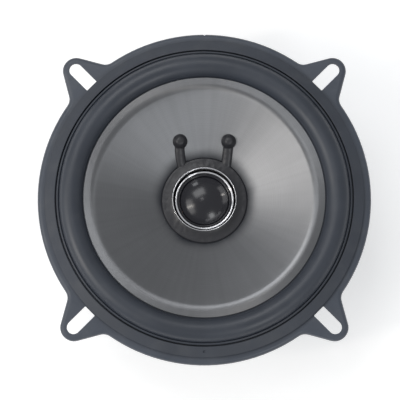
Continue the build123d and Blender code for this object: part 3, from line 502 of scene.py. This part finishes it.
def cone_finish(colours, neck_r):
    """Silvered cone skin: fine turned rings, faint spokes, and a dark band round the neck, partly cement and partly
    painted shade.
    """
    material, tree, shader = blank_material("silvered_cone")
    looks = use_effect(tree, "Turned rings", Rings=7000.0, Spokes=14.0)
    cloud = use_effect(tree, "Fine grain", Scale=1800.0, Blotch_Scale=70.0)
    tone = mix(tree, looks["Rings"], opaque(shade(colours.cone, 0.86)), opaque(shade(colours.cone, 1.12)))
    tone = mix(tree, calc(tree, "MULTIPLY", looks["Spokes"], 0.25), tone, opaque(shade(colours.cone, 1.25)))
    tone = mix(tree, calc(tree, "MULTIPLY", cloud["Blotch"], 0.18), tone, opaque(shade(colours.cone, 0.7)))
    ragged = calc(tree, "MULTIPLY_ADD", cloud["Blotch"], 0.0012, looks["Radius"])
    # Dark band fading outwards from the neck ring: partly cement, partly painted shade.
    neck_cement_and_shade = ramp_value(tree, ragged, neck_r - 0.0002, neck_r + 0.0062, 1.0, 0.0)
    neck_cement_and_shade = calc(tree, "POWER", neck_cement_and_shade, 1.5)
    tone = mix(tree, neck_cement_and_shade, tone, opaque(shade(colours.cement, 1.2)))
    feed(tree, shader.inputs["Base Color"], tone)
    feed(tree, shader.inputs["Metallic"], calc(tree, "SUBTRACT", 1.0, neck_cement_and_shade, clamp=True))
    gloss = ramp_value(tree, looks["Rings"], 0.0, 1.0, 0.34, 0.42)
    feed(tree, shader.inputs["Roughness"], calc(tree, "MULTIPLY_ADD", neck_cement_and_shade, 0.15, gloss))
    shader.inputs["Anisotropic"].default_value = 0.85
    spun = node(tree, "ShaderNodeTangent", direction_type="RADIAL", axis="Z")
    feed(tree, shader.inputs["Tangent"], spun.outputs["Tangent"])
    bump(tree, shader, looks["Rings"], 0.2, 0.000012)
    return material


def cloth_finish(colours):
    """Resin-stiffened cotton."""
    material, tree, shader = blank_material("spider_cloth")
    threads = use_effect(tree, "Cloth weave", Threads=2000.0)
    looks = use_effect(tree, "Fine grain", Scale=3500.0, Blotch_Scale=60.0)
    # Painted shade darkens the cloth in the gaps between threads.
    tone = mix(tree, threads["Shade"], opaque(shade(colours.cloth, 0.45)), opaque(colours.cloth))
    tone = mix(tree, calc(tree, "MULTIPLY", looks["Blotch"], 0.4), tone, opaque(shade(colours.cloth, 1.3)))
    feed(tree, shader.inputs["Base Color"], tone)
    feed(tree, shader.inputs["Roughness"], ramp_value(tree, looks["Grain"], 0.0, 1.0, 0.7, 0.9))
    shader.inputs["Sheen Weight"].default_value = 0.15
    bump(tree, shader, threads["Height"], 0.7, 0.00008)
    return material


def turned_steel_finish(name, base, rough):
    """Plated steel with the marks of the lathe."""
    found = bpy.data.materials.get(name)
    if found:
        return found
    material, tree, shader = blank_material(name)
    marks = use_effect(tree, "Turned rings", Rings=3500.0, Spokes=5.0)
    looks = use_effect(tree, "Fine grain", Scale=1200.0, Blotch_Scale=45.0)
    warm = (base[0] * 1.08, base[1] * 1.04, base[2] * 0.9)
    tone = mix(tree, looks["Blotch"], opaque(shade(base, 0.82)), opaque(warm))
    feed(tree, shader.inputs["Base Color"], tone)
    shader.inputs["Metallic"].default_value = 1.0
    gloss = calc(tree, "MULTIPLY_ADD", looks["Grain"], 0.08, rough)
    feed(tree, shader.inputs["Roughness"], calc(tree, "MULTIPLY_ADD", marks["Rings"], 0.06, gloss))
    bump(tree, shader, marks["Rings"], 0.25, 0.00001)
    return material


def winding_finish(name, base, pitch):
    """Enamelled wire, seen as fine turns along the axis, with painted shade in the grooves between turns."""
    material, tree, shader = blank_material(name)
    parts = node(tree, "ShaderNodeSeparateXYZ")
    feed(tree, parts.inputs[0], node(tree, "ShaderNodeTexCoord").outputs["Object"])
    turn = calc(tree, "SINE", calc(tree, "MULTIPLY", parts.outputs["Z"], math.tau / pitch))
    height = calc(tree, "MULTIPLY_ADD", turn, 0.5, 0.5)
    # Painted shade: the colour darkens in the grooves between turns.
    tone = mix(tree, height, opaque(shade(base, 0.35)), opaque(base))
    feed(tree, shader.inputs["Base Color"], tone)
    shader.inputs["Metallic"].default_value = 0.9
    feed(tree, shader.inputs["Roughness"], ramp_value(tree, height, 0.0, 1.0, 0.5, 0.25))
    bump(tree, shader, height, 0.8, pitch / 3)
    return material


# ---------------------------------------------------------------- operators

class SpeakerPiece:
    """What every operator of the speaker shares."""

    bl_options = {"REGISTER", "UNDO"}


class SPEAKER_OT_basket(SpeakerPiece, Operator):
    """Paint the pressed basket and set the rubber gasket round its front"""

    bl_idname = "speaker.basket"
    bl_label = "Basket and gasket"

    def execute(self, context):
        colours = context.scene.speaker_colours
        paint = plain_finish(
            "basket_paint", colours.paint, 0.44, grain=1500.0, variation=0.07, relief=0.18, dust=0.10)
        dress_node("basket", paint)
        dress_node("gasket_ring", plain_finish(
            "front_gasket", colours.gasket, 0.58, grain=2600.0, variation=0.10, relief=0.35, dust=0.08))
        return {"FINISHED"}


class SPEAKER_OT_motor(SpeakerPiece, Operator):
    """Finish the yoke, the ferrite ring, the top plate and their rivets"""

    bl_idname = "speaker.motor"
    bl_label = "Magnet assembly"

    def execute(self, context):
        colours = context.scene.speaker_colours
        plate = turned_steel_finish("plated_steel", colours.steel, 0.26)
        for name in ("yoke", "top_plate", "post_nut", "post_washer", "tweeter_pole_plate"):
            dress_node(name, plate)
        dress_node("staking_rivets", plain_finish("rivet_steel", colours.steel, 0.3, metallic=1.0, variation=0.1))
        dress_node("ring_magnet", plain_finish(
            "ferrite", colours.ferrite, 0.5, grain=900.0, blotch=160.0, variation=0.3, relief=0.3, depth=0.00004))
        return {"FINISHED"}


class SPEAKER_OT_surround(SpeakerPiece, Operator):
    """Turn the rubber half roll, its glued lips and the bead at its foot"""

    bl_idname = "speaker.surround"
    bl_label = "Surround"

    def execute(self, context):
        colours = context.scene.speaker_colours
        sizes = context.scene.speaker_surround
        low, high = box("surround")
        gasket_low, gasket_high = box("gasket_ring")
        cone_r = box("cone")[1].x
        half = sizes.rubber / 2
        bow = sizes.roll_width / 2 - half
        foot_z = high.z - half - bow
        lip_z = low.z + half
        gasket_inner = inner_radius("gasket_ring")
        bead_r = gasket_inner - sizes.groove - sizes.bead
        middle_r = bead_r - sizes.bead - sizes.roll_width / 2
        start = [(cone_r - sizes.inner_lip + half, foot_z), (middle_r - bow, foot_z)]
        roll = arc((middle_r, foot_z), bow, 180, 0, 36)
        end = [(bead_r, foot_z), (bead_r, lip_z), (high.x - half, lip_z)]
        line = softened(start + [roll[1]], sizes.foot_bend)[:-1] + roll[1:-1]
        line += softened([roll[-2]] + [roll[-1]] + end, sizes.foot_bend)[1:]
        rubber = plain_finish("surround_rubber", colours.rubber, 0.42, grain=3200.0, blotch=55.0, variation=0.08,
                              rough_spread=0.08, relief=0.2, depth=0.00001, dust=0.05)
        skin = turned("surround_roll", sheet_outline(line, sizes.rubber), steps=256)
        stand_for(skin, rubber, "rubber", None, "surround")
        blend_by_radius(skin)
        bead = turned("surround_bead", arc((bead_r, foot_z + half), sizes.bead, 0, 340, 17), steps=256)
        stand_for(bead, rubber, "rubber", CHASSIS)
        return {"FINISHED"}


def cone_shape(sizes):
    """The cone's front line from the CAD box: its lip's radius and height, its bend, the neck and its slope."""
    lip_r, lip_z = box("cone")[1].x, box("cone")[1].z
    neck_r = box("neck_ring")[1].x
    neck_z = lip_z - sizes.depth
    bend_r = lip_r - sizes.lip
    slope = math.atan2(lip_z - neck_z, bend_r - neck_r)
    return lip_r, lip_z, bend_r, neck_r, neck_z, slope


def cone_front(sizes, radius):
    """The height of the cone's front at a radius."""
    *_, neck_r, neck_z, slope = cone_shape(sizes)
    return neck_z + (radius - neck_r) * math.tan(slope)


class SPEAKER_OT_cone(SpeakerPiece, Operator):
    """Turn the silvered cone with its flat lip"""

    bl_idname = "speaker.cone"
    bl_label = "Cone"

    def execute(self, context):
        colours = context.scene.speaker_colours
        sizes = context.scene.speaker_cone
        lip_r, lip_z, bend_r, neck_r, neck_z, slope = cone_shape(sizes)
        former_r = box("voice_coil_former")[1].x
        half = sizes.wall / 2
        drop = half / math.cos(slope)
        line = [
            (former_r, cone_front(sizes, former_r) - drop),
            (bend_r + half * math.tan(slope / 2), lip_z - half),
            (lip_r - half, lip_z - half),
        ]
        line = softened(line, sizes.bend, count=8)
        (start_r, start_z), (bend_start_r, bend_start_z) = line[:2]
        steps = 12
        inner = [(start_r + (bend_start_r - start_r) * i / steps, start_z + (bend_start_z - start_z) * i / steps)
                 for i in range(steps)]
        cone = turned("cone_skin", sheet_outline(inner + line[1:], sizes.wall), steps=256)
        stand_for(cone, cone_finish(colours, neck_r), "cone_skin", CONE_BODY, "cone")
        return {"FINISHED"}


class SPEAKER_OT_neck(SpeakerPiece, Operator):
    """Make the cement fillet at the cone's neck and the cement over both leads"""

    bl_idname = "speaker.neck"
    bl_label = "Neck and lead tracks"

    CORNER = ((0.00012, 0.00035), (0.00045, 0.00068))   # inwards and up from the ring's outer edge
    WAIST = 0.00075         # height of the ring's flat waist
    FLARE = 2.2             # how steeply the ring climbs to the former
    LUMPS = ((420, 0.0002), (1300, 0.00006))            # fineness and depth of the ring's hand-laid skin
    EASE_LOSS = 1.12        # what smoothing takes off a rounded form
    ROOT_TUCK = 0.0016      # how far a track's root is hidden under the ring
    TRACK_STEPS = 14
    VOXEL = 0.00016
    BLOB_HEIGHT = 0.97      # share of its radius that a blob keeps
    SUNK = 0.00004          # how far a track's underside is set into the cone

    def execute(self, context):
        colours = context.scene.speaker_colours
        sizes = context.scene.speaker_cone
        cement = plain_finish("black_cement", colours.cement, 0.5, specular=0.3, grain=1400.0, blotch=320.0,
                              variation=0.25, rough_spread=0.16, relief=0.3, depth=0.00003)
        ring = self.neck_ring(sizes)
        stand_for(ring, cement, "black_cement", CONE_BODY, "neck_ring")
        for side, name, bow in ((-1, "lead_track_left", 0.0006), (1, "lead_track_right", 0.0001)):
            track = self.lead_track(sizes, side, bow)
            settle(track, name.replace("track", "cement"))
            stand_for(track, cement, "black_cement", CONE_BODY, name)
        dress_node("cone_eyelets", plain_finish("eyelet_brass", (0.75, 0.55, 0.25), 0.3, metallic=1.0))
        return {"FINISHED"}

    def neck_ring(self, sizes):
        low, high = box("neck_ring")
        former_r = box("voice_coil_former")[1].x
        edge_z = cone_front(sizes, high.x)
        line = [(former_r, cone_front(sizes, former_r)), (high.x, edge_z)]
        line += [(high.x - inset, edge_z + rise) for inset, rise in self.CORNER]
        start_r = high.x - self.CORNER[-1][0]
        span = start_r - former_r
        for i in range(1, 11):
            t = i / 10
            rise = self.WAIST + (high.z - edge_z - self.WAIST) * t**self.FLARE
            line.append((start_r - span * t, edge_z + min(rise, high.z - edge_z)))
        ring = turned("neck_cement", line, steps=192)
        for vertex in ring.data.vertices:
            radius = math.hypot(vertex.co.x, vertex.co.y)
            above = vertex.co.z - cone_front(sizes, radius)
            if above > 0.0001 and radius > former_r + 0.0003:
                vertex.co.z -= abs(sum(noise.noise(vertex.co * fine) * deep for fine, deep in self.LUMPS))
        return ring

    def lead_track(self, sizes, side, bow):
        """Two rounded forms joined into one skin and laid on the cone."""
        neck_r = box("neck_ring")[1].x
        blob_r = neck_r + sizes.blob_margin
        root_r = neck_r - self.ROOT_TUCK
        root_turn = math.pi / 2 - side * sizes.root_angle
        blob_turn = math.pi / 2 - side * sizes.blob_angle
        root = (root_r * math.cos(root_turn), root_r * math.sin(root_turn))
        blob = (blob_r * math.cos(blob_turn), blob_r * math.sin(blob_turn))
        middle = ((root[0] + blob[0]) / 2 + side * bow, (root[1] + blob[1]) / 2)
        deselect()
        bpy.ops.mesh.primitive_uv_sphere_add(
            segments=32, ring_count=16, radius=sizes.blob * self.EASE_LOSS,
            location=(*blob, cone_front(sizes, blob_r)))
        piece = bpy.context.object
        parts = [piece]
        for i in range(self.TRACK_STEPS + 1):
            t = i / self.TRACK_STEPS
            x, y = (
                a * (1 - t) ** 2 + (4 * m - a - b) / 2 * 2 * t * (1 - t) + b * t**2
                for a, m, b in zip(root, middle, blob)
            )
            deselect()
            bpy.ops.mesh.primitive_uv_sphere_add(
                segments=24, ring_count=12, radius=sizes.track_width / 2 * self.EASE_LOSS,
                location=(x, y, cone_front(sizes, math.hypot(x, y))))
            parts.append(bpy.context.object)
        deselect()
        for part in parts:
            part.select_set(True)
        bpy.context.view_layer.objects.active = piece
        bpy.ops.object.join()
        only(piece)
        bpy.ops.object.transform_apply(location=True, rotation=True, scale=True)
        skin = piece.modifiers.new("Skin", "REMESH")
        skin.mode = "VOXEL"
        skin.voxel_size = self.VOXEL
        skin.use_smooth_shade = True
        ease = piece.modifiers.new("Ease", "SMOOTH")
        ease.factor = 0.5
        ease.iterations = 6
        for modifier in (skin.name, ease.name):
            bpy.ops.object.modifier_apply(modifier=modifier)
        flat = sizes.track_height / (sizes.track_width / 2)
        for vertex in piece.data.vertices:
            x, y = vertex.co.x, vertex.co.y
            ground = cone_front(sizes, math.hypot(x, y))
            away = math.hypot(x - blob[0], y - blob[1])
            share = flat + (self.BLOB_HEIGHT - flat) * smooth_step((sizes.blob * 1.15 - away) / (sizes.blob * 0.6))
            above = vertex.co.z - ground
            lumps = 1 + 0.05 * noise.noise(vertex.co * 700)
            vertex.co.z = ground + (above * share * lumps if above > 0 else -self.SUNK)
        return piece


class SPEAKER_OT_voice_coil(SpeakerPiece, Operator):
    """Turn the coil's former and finish its winding and collar"""

    bl_idname = "speaker.voice_coil"
    bl_label = "Voice coil"

    def execute(self, context):
        colours = context.scene.speaker_colours
        low, high = box("voice_coil_former")
        inner = inner_radius("voice_coil_former")
        wall = high.x - inner
        former = turned("coil_former", rounded_rim(low.z, high.x, inner, high.z, wall * 0.3, 4), steps=192)
        bright = plain_finish(
            "bright_aluminium", (0.07, 0.071, 0.075), 0.38, metallic=1.0, grain=5000.0, variation=0.05)
        stand_for(former, bright, "bright_aluminium", CONE_BODY, "voice_coil_former")
        dress_node("voice_coil_winding", winding_finish("coil_copper", colours.copper, 0.00022))
        dress_node("tweeter_winding", winding_finish("tweeter_copper", colours.copper, 0.00012))
        dress_node("tweeter_former", bright)
        dress_node("spider_collar", plain_finish("collar_paper", (0.22, 0.15, 0.09), 0.8, relief=0.5))
        return {"FINISHED"}


class SPEAKER_OT_spider(SpeakerPiece, Operator):
    """Turn the corrugated cloth disc that centres the coil"""

    bl_idname = "speaker.spider"
    bl_label = "Spider"

    LAND_CUT = 0.0008       # how much less of the outer land is left once the disc is trimmed
    FINE = 12               # points along each half roll

    def execute(self, context):
        sizes = context.scene.speaker_spider
        low, high = box("spider")
        inner = inner_radius("spider") + sizes.wall / 2
        outer = high.x - sizes.wall / 2
        middle_z = box("spider_collar")[0].z - sizes.wall / 2
        first = inner - sizes.wall / 2 + sizes.inner_land
        last = high.x + self.LAND_CUT - sizes.outer_land
        step = (last - first) / (2 * sizes.rolls)
        swing = min(high.z - middle_z, middle_z - low.z) - sizes.wall / 2
        line = [(inner, middle_z), (first, middle_z)]
        for i in range(1, 2 * sizes.rolls * self.FINE):
            t = i / self.FINE
            fade = smooth_step(min(t, 2 * sizes.rolls - t))
            line.append((first + step * t, middle_z - swing * fade * math.sin(math.pi * t)))
        line += [(last, middle_z), (outer, middle_z)]
        spider = turned("spider_disc", sheet_outline(line, sizes.wall), steps=192)
        stand_for(spider, cloth_finish(context.scene.speaker_colours), "spider_cloth", None, "spider")
        blend_by_radius(spider)
        return {"FINISHED"}


class SPEAKER_OT_tweeter(SpeakerPiece, Operator):
    """Turn the tweeter's dome, its narrow roll and its bright ring, and finish what is behind them"""

    bl_idname = "speaker.tweeter"
    bl_label = "Tweeter"

    WALL = 0.00025          # thickness of the dome and of its roll
    TRIM_BEND = 0.00028

    def execute(self, context):
        colours = context.scene.speaker_colours
        gloss = plain_finish("dome_gloss", colours.dome, 0.13, grain=900.0, blotch=150.0, variation=0.2,
                             rough_spread=0.05, relief=0.05, depth=0.00001, dust=0.02, specular=0.35)
        low, high = box("tweeter_dome")
        wall = self.WALL
        rise, rim_r = high.z - low.z, high.x
        sphere_r = (rim_r**2 + rise**2) / (2 * rise)
        centre = (0, high.z - sphere_r)
        edge = math.degrees(math.acos(rim_r / sphere_r))
        back_edge = math.degrees(math.asin(min((low.z - centre[1]) / (sphere_r - wall), 1)))
        outline = arc(centre, sphere_r, 90, edge, 32) + arc(centre, sphere_r - wall, back_edge, 90, 32)
        outline[0] = (0, outline[0][1])
        outline[-1] = (0, outline[-1][1])
        dome = turned("dome_cap", outline, steps=160, closed=False)
        stand_for(dome, gloss, "dome_gloss", DOME_BODY, "tweeter_dome")

        low, high = box("tweeter_surround")
        foot_r = inner_radius("tweeter_surround") + wall / 2
        bow = (high.z - low.z) - wall
        middle = low.z + wall / 2
        line = arc((foot_r + bow, middle), bow, 180, 0, 14) + [(high.x - wall / 2, middle)]
        roll = turned("dome_roll", sheet_outline(line, wall), steps=160)
        stand_for(roll, gloss, "dome_gloss", None, "tweeter_surround")
        blend_by_radius(roll)

        low, high = box("trim_ring")
        trim = turned("trim_band", rounded_rim(low.z, high.x, inner_radius("trim_ring"), high.z, self.TRIM_BEND),
                      steps=160)
        chrome = plain_finish("bright_trim", (0.035, 0.036, 0.04), 0.4, metallic=1.0, variation=0.05, relief=0.05)
        stand_for(trim, chrome, "bright_trim", CHASSIS, "trim_ring")

        dress_node("tweeter_cup", plain_finish("cup_paint", (0.02, 0.02, 0.022), 0.35, variation=0.1))
        dress_node("tweeter_magnet", plain_finish("nickel", (0.7, 0.68, 0.64), 0.2, metallic=1.0, variation=0.05))
        dress_node("tweeter_damping_pad", plain_finish("felt", (0.25, 0.25, 0.25), 0.95, grain=4000.0, relief=0.9,
                                                       depth=0.0001))
        dress_node("diaphragm_ring", plain_finish("black_plastic", (0.02, 0.02, 0.02), 0.5))
        dress_node("tweeter_wafer", plain_finish("wafer_fibre", colours.board, 0.6, grain=2000.0, relief=0.3))
        dress_node("tweeter_tags", plain_finish("tin_tags", (0.76, 0.75, 0.72), 0.3, metallic=1.0, variation=0.1))
        dress_node("tweeter_post", plain_finish("post_aluminium", (0.72, 0.72, 0.73), 0.32, metallic=1.0))
        return {"FINISHED"}


class SPEAKER_OT_wiring(SpeakerPiece, Operator):
    """Twist the tinsel leads and finish the terminals, the capacitor and the tweeter's wires"""

    bl_idname = "speaker.wiring"
    bl_label = "Wiring"

    EYELET = (0.00957, 0.02299)     # where a lead meets the cone, to the right of +Y
    LUG_X = 0.0057
    REST = 0.00002          # clear space under a lead on its lug
    DROP = 0.0042           # straight stretch below the eyelet
    SAGS = ((0.35, 0.0018), (0.7, 0.00125))     # share of the way to the lug, and height above it
    STRAND_SHARE = 0.46     # a strand's radius as a share of the lead's
    SIDES = 8

    def execute(self, context):
        colours = context.scene.speaker_colours
        tin = plain_finish("tin_plate", (0.78, 0.76, 0.72), 0.3, metallic=1.0, grain=1800.0, variation=0.12)
        for name in ("spade_wide", "spade_narrow", "capacitor_leads"):
            dress_node(name, tin)
        brass = plain_finish("board_brass", (0.78, 0.58, 0.28), 0.28, metallic=1.0, variation=0.1)
        for name in ("spade_rivets", "board_rivet"):
            dress_node(name, brass)
        dress_node("solder_joints", plain_finish("solder", (0.7, 0.7, 0.7), 0.22, metallic=1.0, grain=1500.0,
                                                 relief=0.4, depth=0.00004))
        dress_node("terminal_board", plain_finish("board_fibre", colours.board, 0.6, grain=2200.0, blotch=220.0,
                                                  variation=0.25, relief=0.4))
        dress_node("capacitor", plain_finish("capacitor_sleeve", colours.sleeve, 0.2, grain=600.0, variation=0.08,
                                             relief=0.08, coat=0.3))
        dress_node("capacitor_pad", plain_finish("clear_glue", (0.75, 0.62, 0.35), 0.25, grain=700.0, blotch=300.0,
                                                 relief=0.6, depth=0.0001))
        dress_node("splice_sleeve", plain_finish("shrink_sleeve", (0.02, 0.02, 0.02), 0.45, variation=0.1))
        dress_node("tweeter_wire_plain", plain_finish("wire_black", (0.015, 0.015, 0.016), 0.38, variation=0.1))
        dress_node("tweeter_wire_striped", plain_finish("wire_red", (0.42, 0.015, 0.012), 0.38, variation=0.1))
        braid = plain_finish("tinsel_braid", (0.62, 0.40, 0.26), 0.34, metallic=0.8, grain=6000.0, variation=0.25,
                             relief=0.8, depth=0.00003)
        for side, name in ((-1, "tinsel_lead_left"), (1, "tinsel_lead_right")):
            self.tinsel_lead(context, side, name, braid)
        return {"FINISHED"}

    def tinsel_lead(self, context, side, name, braid):
        """Lays strands along one smooth route from the cone's eyelet to the terminal's lug."""
        sizes = context.scene.speaker_wires
        low, high = box(name)
        cone_side = (side * self.EYELET[0], self.EYELET[1], high.z)
        lug_side = (side * self.LUG_X, high.y, box("spade_wide")[1].z + sizes.tinsel + self.REST)
        across, along = lug_side[0] - cone_side[0], lug_side[1] - cone_side[1]
        points = [cone_side, (cone_side[0], cone_side[1], high.z - self.DROP)]
        for share, above in self.SAGS:
            points.append((cone_side[0] + share * across, cone_side[1] + share * along, lug_side[2] + above))
        points.append(lug_side)
        deselect()
        bpy.ops.curve.primitive_nurbs_path_add(location=(0, 0, 0))
        route = bpy.context.object
        spline = route.data.splines[0]
        for point, place in zip(spline.points, points):
            point.co = (*place, 1)
        spline.order_u = 3
        spline.use_endpoint_u = True
        route.data.resolution_u = 24
        bpy.context.view_layer.update()
        line = bpy.data.meshes.new_from_object(route)
        middle = [v.co.copy() for v in line.vertices]
        bpy.data.meshes.remove(line)
        bpy.data.objects.remove(route)
        strands = []
        strand_r = sizes.tinsel * self.STRAND_SHARE
        for k in range(sizes.strands):
            deselect()
            bpy.ops.mesh.primitive_circle_add(vertices=self.SIDES, radius=strand_r, location=middle[0])
            strand = bpy.context.object
            self.twist(strand, middle, k / sizes.strands, sizes.twists, sizes.tinsel - strand_r, strand_r)
            strands.append(strand)
        deselect()
        for strand in strands:
            strand.select_set(True)
        bpy.context.view_layer.objects.active = strands[0]
        bpy.ops.object.join()
        lead = settle(strands[0], name.replace("lead", "braid"))
        bpy.ops.object.shade_smooth()
        stand_for(lead, braid, "tinsel", None, name)
        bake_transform(lead)

    def twist(self, strand, middle, phase, twists, offset, radius):
        """Rebuilds a strand's mesh as a closed tube that winds round the middle line."""
        sides = self.SIDES
        places, faces = [], []
        count = len(middle)
        for i, here in enumerate(middle):
            ahead = (middle[min(i + 1, count - 1)] - middle[max(i - 1, 0)]).normalized()
            side = ahead.cross(Vector((1, 0, 0))).normalized()
            up = side.cross(ahead).normalized()
            angle = math.tau * (phase + twists * i / (count - 1))
            axis = here + offset * (side * math.cos(angle) + up * math.sin(angle))
            for j in range(sides):
                a = math.tau * j / sides
                places.append(axis + radius * (side * math.cos(a) + up * math.sin(a)))
        for i in range(count - 1):
            for j in range(sides):
                a, b = i * sides + j, i * sides + (j + 1) % sides
                faces.append((a, b, b + sides, a + sides))
        faces.append(tuple(range(sides))[::-1])
        faces.append(tuple((count - 1) * sides + j for j in range(sides)))
        strand.data.clear_geometry()
        strand.data.from_pydata([p - strand.location for p in places], [], faces)
        only(strand)
        bpy.ops.object.mode_set(mode="EDIT")
        bpy.ops.mesh.select_all(action="SELECT")
        bpy.ops.mesh.normals_make_consistent(inside=False)
        bpy.ops.object.mode_set(mode="OBJECT")


class SPEAKER_OT_stage(SpeakerPiece, Operator):
    """Set the pale floor, the soft lights and the camera"""

    bl_idname = "speaker.stage"
    bl_label = "Stage"

    # name, azimuth from +X and elevation in degrees, distance, width and height, tint
    LIGHTS = (
        ("left", 196, 40, 1.5, (1.1, 0.9), (1.0, 0.99, 0.97)),
        ("strip", 195, 47, 1.5, (0.07, 0.6), (1.0, 0.94, 0.86)),
        ("back", 118, 58, 1.1, (0.6, 0.4), (0.98, 0.99, 1.0)),
        ("top", 122, 78, 1.5, (0.12, 0.12), (1.0, 1.0, 1.0)),
        ("right", 300, 44, 1.5, (0.35, 0.5), (0.97, 0.99, 1.0)),
    )
    FLOOR_SIZE = 6
    SENSOR = 36             # width of the camera's sensor in millimetres

    def execute(self, context):
        stage = context.scene.speaker_stage
        scene = context.scene
        scene.view_settings.view_transform = "Standard"
        deselect()
        bpy.ops.mesh.primitive_plane_add(size=self.FLOOR_SIZE, location=(0, 0, cad_box[0][2]))
        floor = settle(bpy.context.object, "studio_floor")
        card = plain_finish("floor_card", scene.speaker_colours.floor, 0.85, grain=60.0, blotch=4.0,
                            variation=0.01, relief=0.02, specular=0.2)
        shader = card.node_tree.nodes["Principled BSDF"]
        shader.inputs["Emission Color"].default_value = (1, 1, 1, 1)
        shader.inputs["Emission Strength"].default_value = stage.floor_glow
        dress(floor, card)

        world = bpy.data.worlds.new("Studio")
        world.use_nodes = True
        light = world.node_tree.nodes["Background"]
        light.inputs["Color"].default_value = (0.96, 0.98, 1.0, 1.0)
        light.inputs["Strength"].default_value = stage.world
        scene.world = world

        for key, azimuth, elevation, distance, size, tint in self.LIGHTS:
            self.soft_light(key + "_light", azimuth, elevation, distance, size, getattr(stage, key), tint)

        target = Vector((0, 0, box("basket")[1].z))
        away = Vector((0, -math.cos(stage.elevation), math.sin(stage.elevation)))
        bpy.ops.object.camera_add(location=target + away * stage.distance)
        camera = context.object
        camera.rotation_euler = (-away).to_track_quat("-Z", "Y").to_euler()
        camera.data.sensor_width = self.SENSOR
        camera.data.lens = self.SENSOR * stage.distance / stage.frame_width
        camera.data.shift_x = stage.shift_x
        camera.data.shift_y = stage.shift_y
        camera.data.clip_start = 0.01
        scene.camera = camera
        return {"FINISHED"}

    def soft_light(self, name, azimuth, elevation, distance, size, power, tint):
        """An area light at an azimuth from +X and an elevation, turned to the speaker."""
        a, e = math.radians(azimuth), math.radians(elevation)
        away = Vector((math.cos(a) * math.cos(e), math.sin(a) * math.cos(e), math.sin(e)))
        bpy.ops.object.light_add(type="AREA", location=away * distance)
        lamp = bpy.context.object
        lamp.name = name
        lamp.rotation_euler = (-away).to_track_quat("-Z", "Y").to_euler()
        lamp.data.shape = "RECTANGLE"
        lamp.data.size, lamp.data.size_y = size
        lamp.data.energy = power
        lamp.data.color = tint


OPERATORS = (
    SPEAKER_OT_basket,
    SPEAKER_OT_motor,
    SPEAKER_OT_surround,
    SPEAKER_OT_cone,
    SPEAKER_OT_neck,
    SPEAKER_OT_voice_coil,
    SPEAKER_OT_spider,
    SPEAKER_OT_tweeter,
    SPEAKER_OT_wiring,
    SPEAKER_OT_stage,
)

SETTINGS = {
    "speaker_surround": SurroundSizes,
    "speaker_cone": ConeSizes,
    "speaker_spider": SpiderSizes,
    "speaker_wires": WireSizes,
    "speaker_colours": SpeakerColours,
    "speaker_stage": StageSettings,
}


class SPEAKER_PT_panel(Panel):
    """Lists the speaker's pieces and their settings"""

    bl_idname = "SPEAKER_PT_panel"
    bl_label = "Coaxial speaker"
    bl_space_type = "VIEW_3D"
    bl_region_type = "UI"
    bl_category = "Speaker"

    def draw(self, context):
        for operator in OPERATORS:
            self.layout.operator(operator.bl_idname)
        for name, group in SETTINGS.items():
            column = self.layout.box()
            settings = getattr(context.scene, name)
            for key in group.__annotations__:
                column.prop(settings, key)


def register():
    for group in SETTINGS.values():
        bpy.utils.register_class(group)
    for name, group in SETTINGS.items():
        setattr(bpy.types.Scene, name, PointerProperty(type=group))
    for operator in OPERATORS:
        bpy.utils.register_class(operator)
    bpy.utils.register_class(SPEAKER_PT_panel)


def unregister():
    bpy.utils.unregister_class(SPEAKER_PT_panel)
    for operator in reversed(OPERATORS):
        bpy.utils.unregister_class(operator)
    for name, group in SETTINGS.items():
        delattr(bpy.types.Scene, name)
        bpy.utils.unregister_class(group)


def main():
    register()
    for operator in OPERATORS:
        group, verb = operator.bl_idname.split(".")
        getattr(getattr(bpy.ops, group), verb)()


if __name__ == "__main__":
    main()
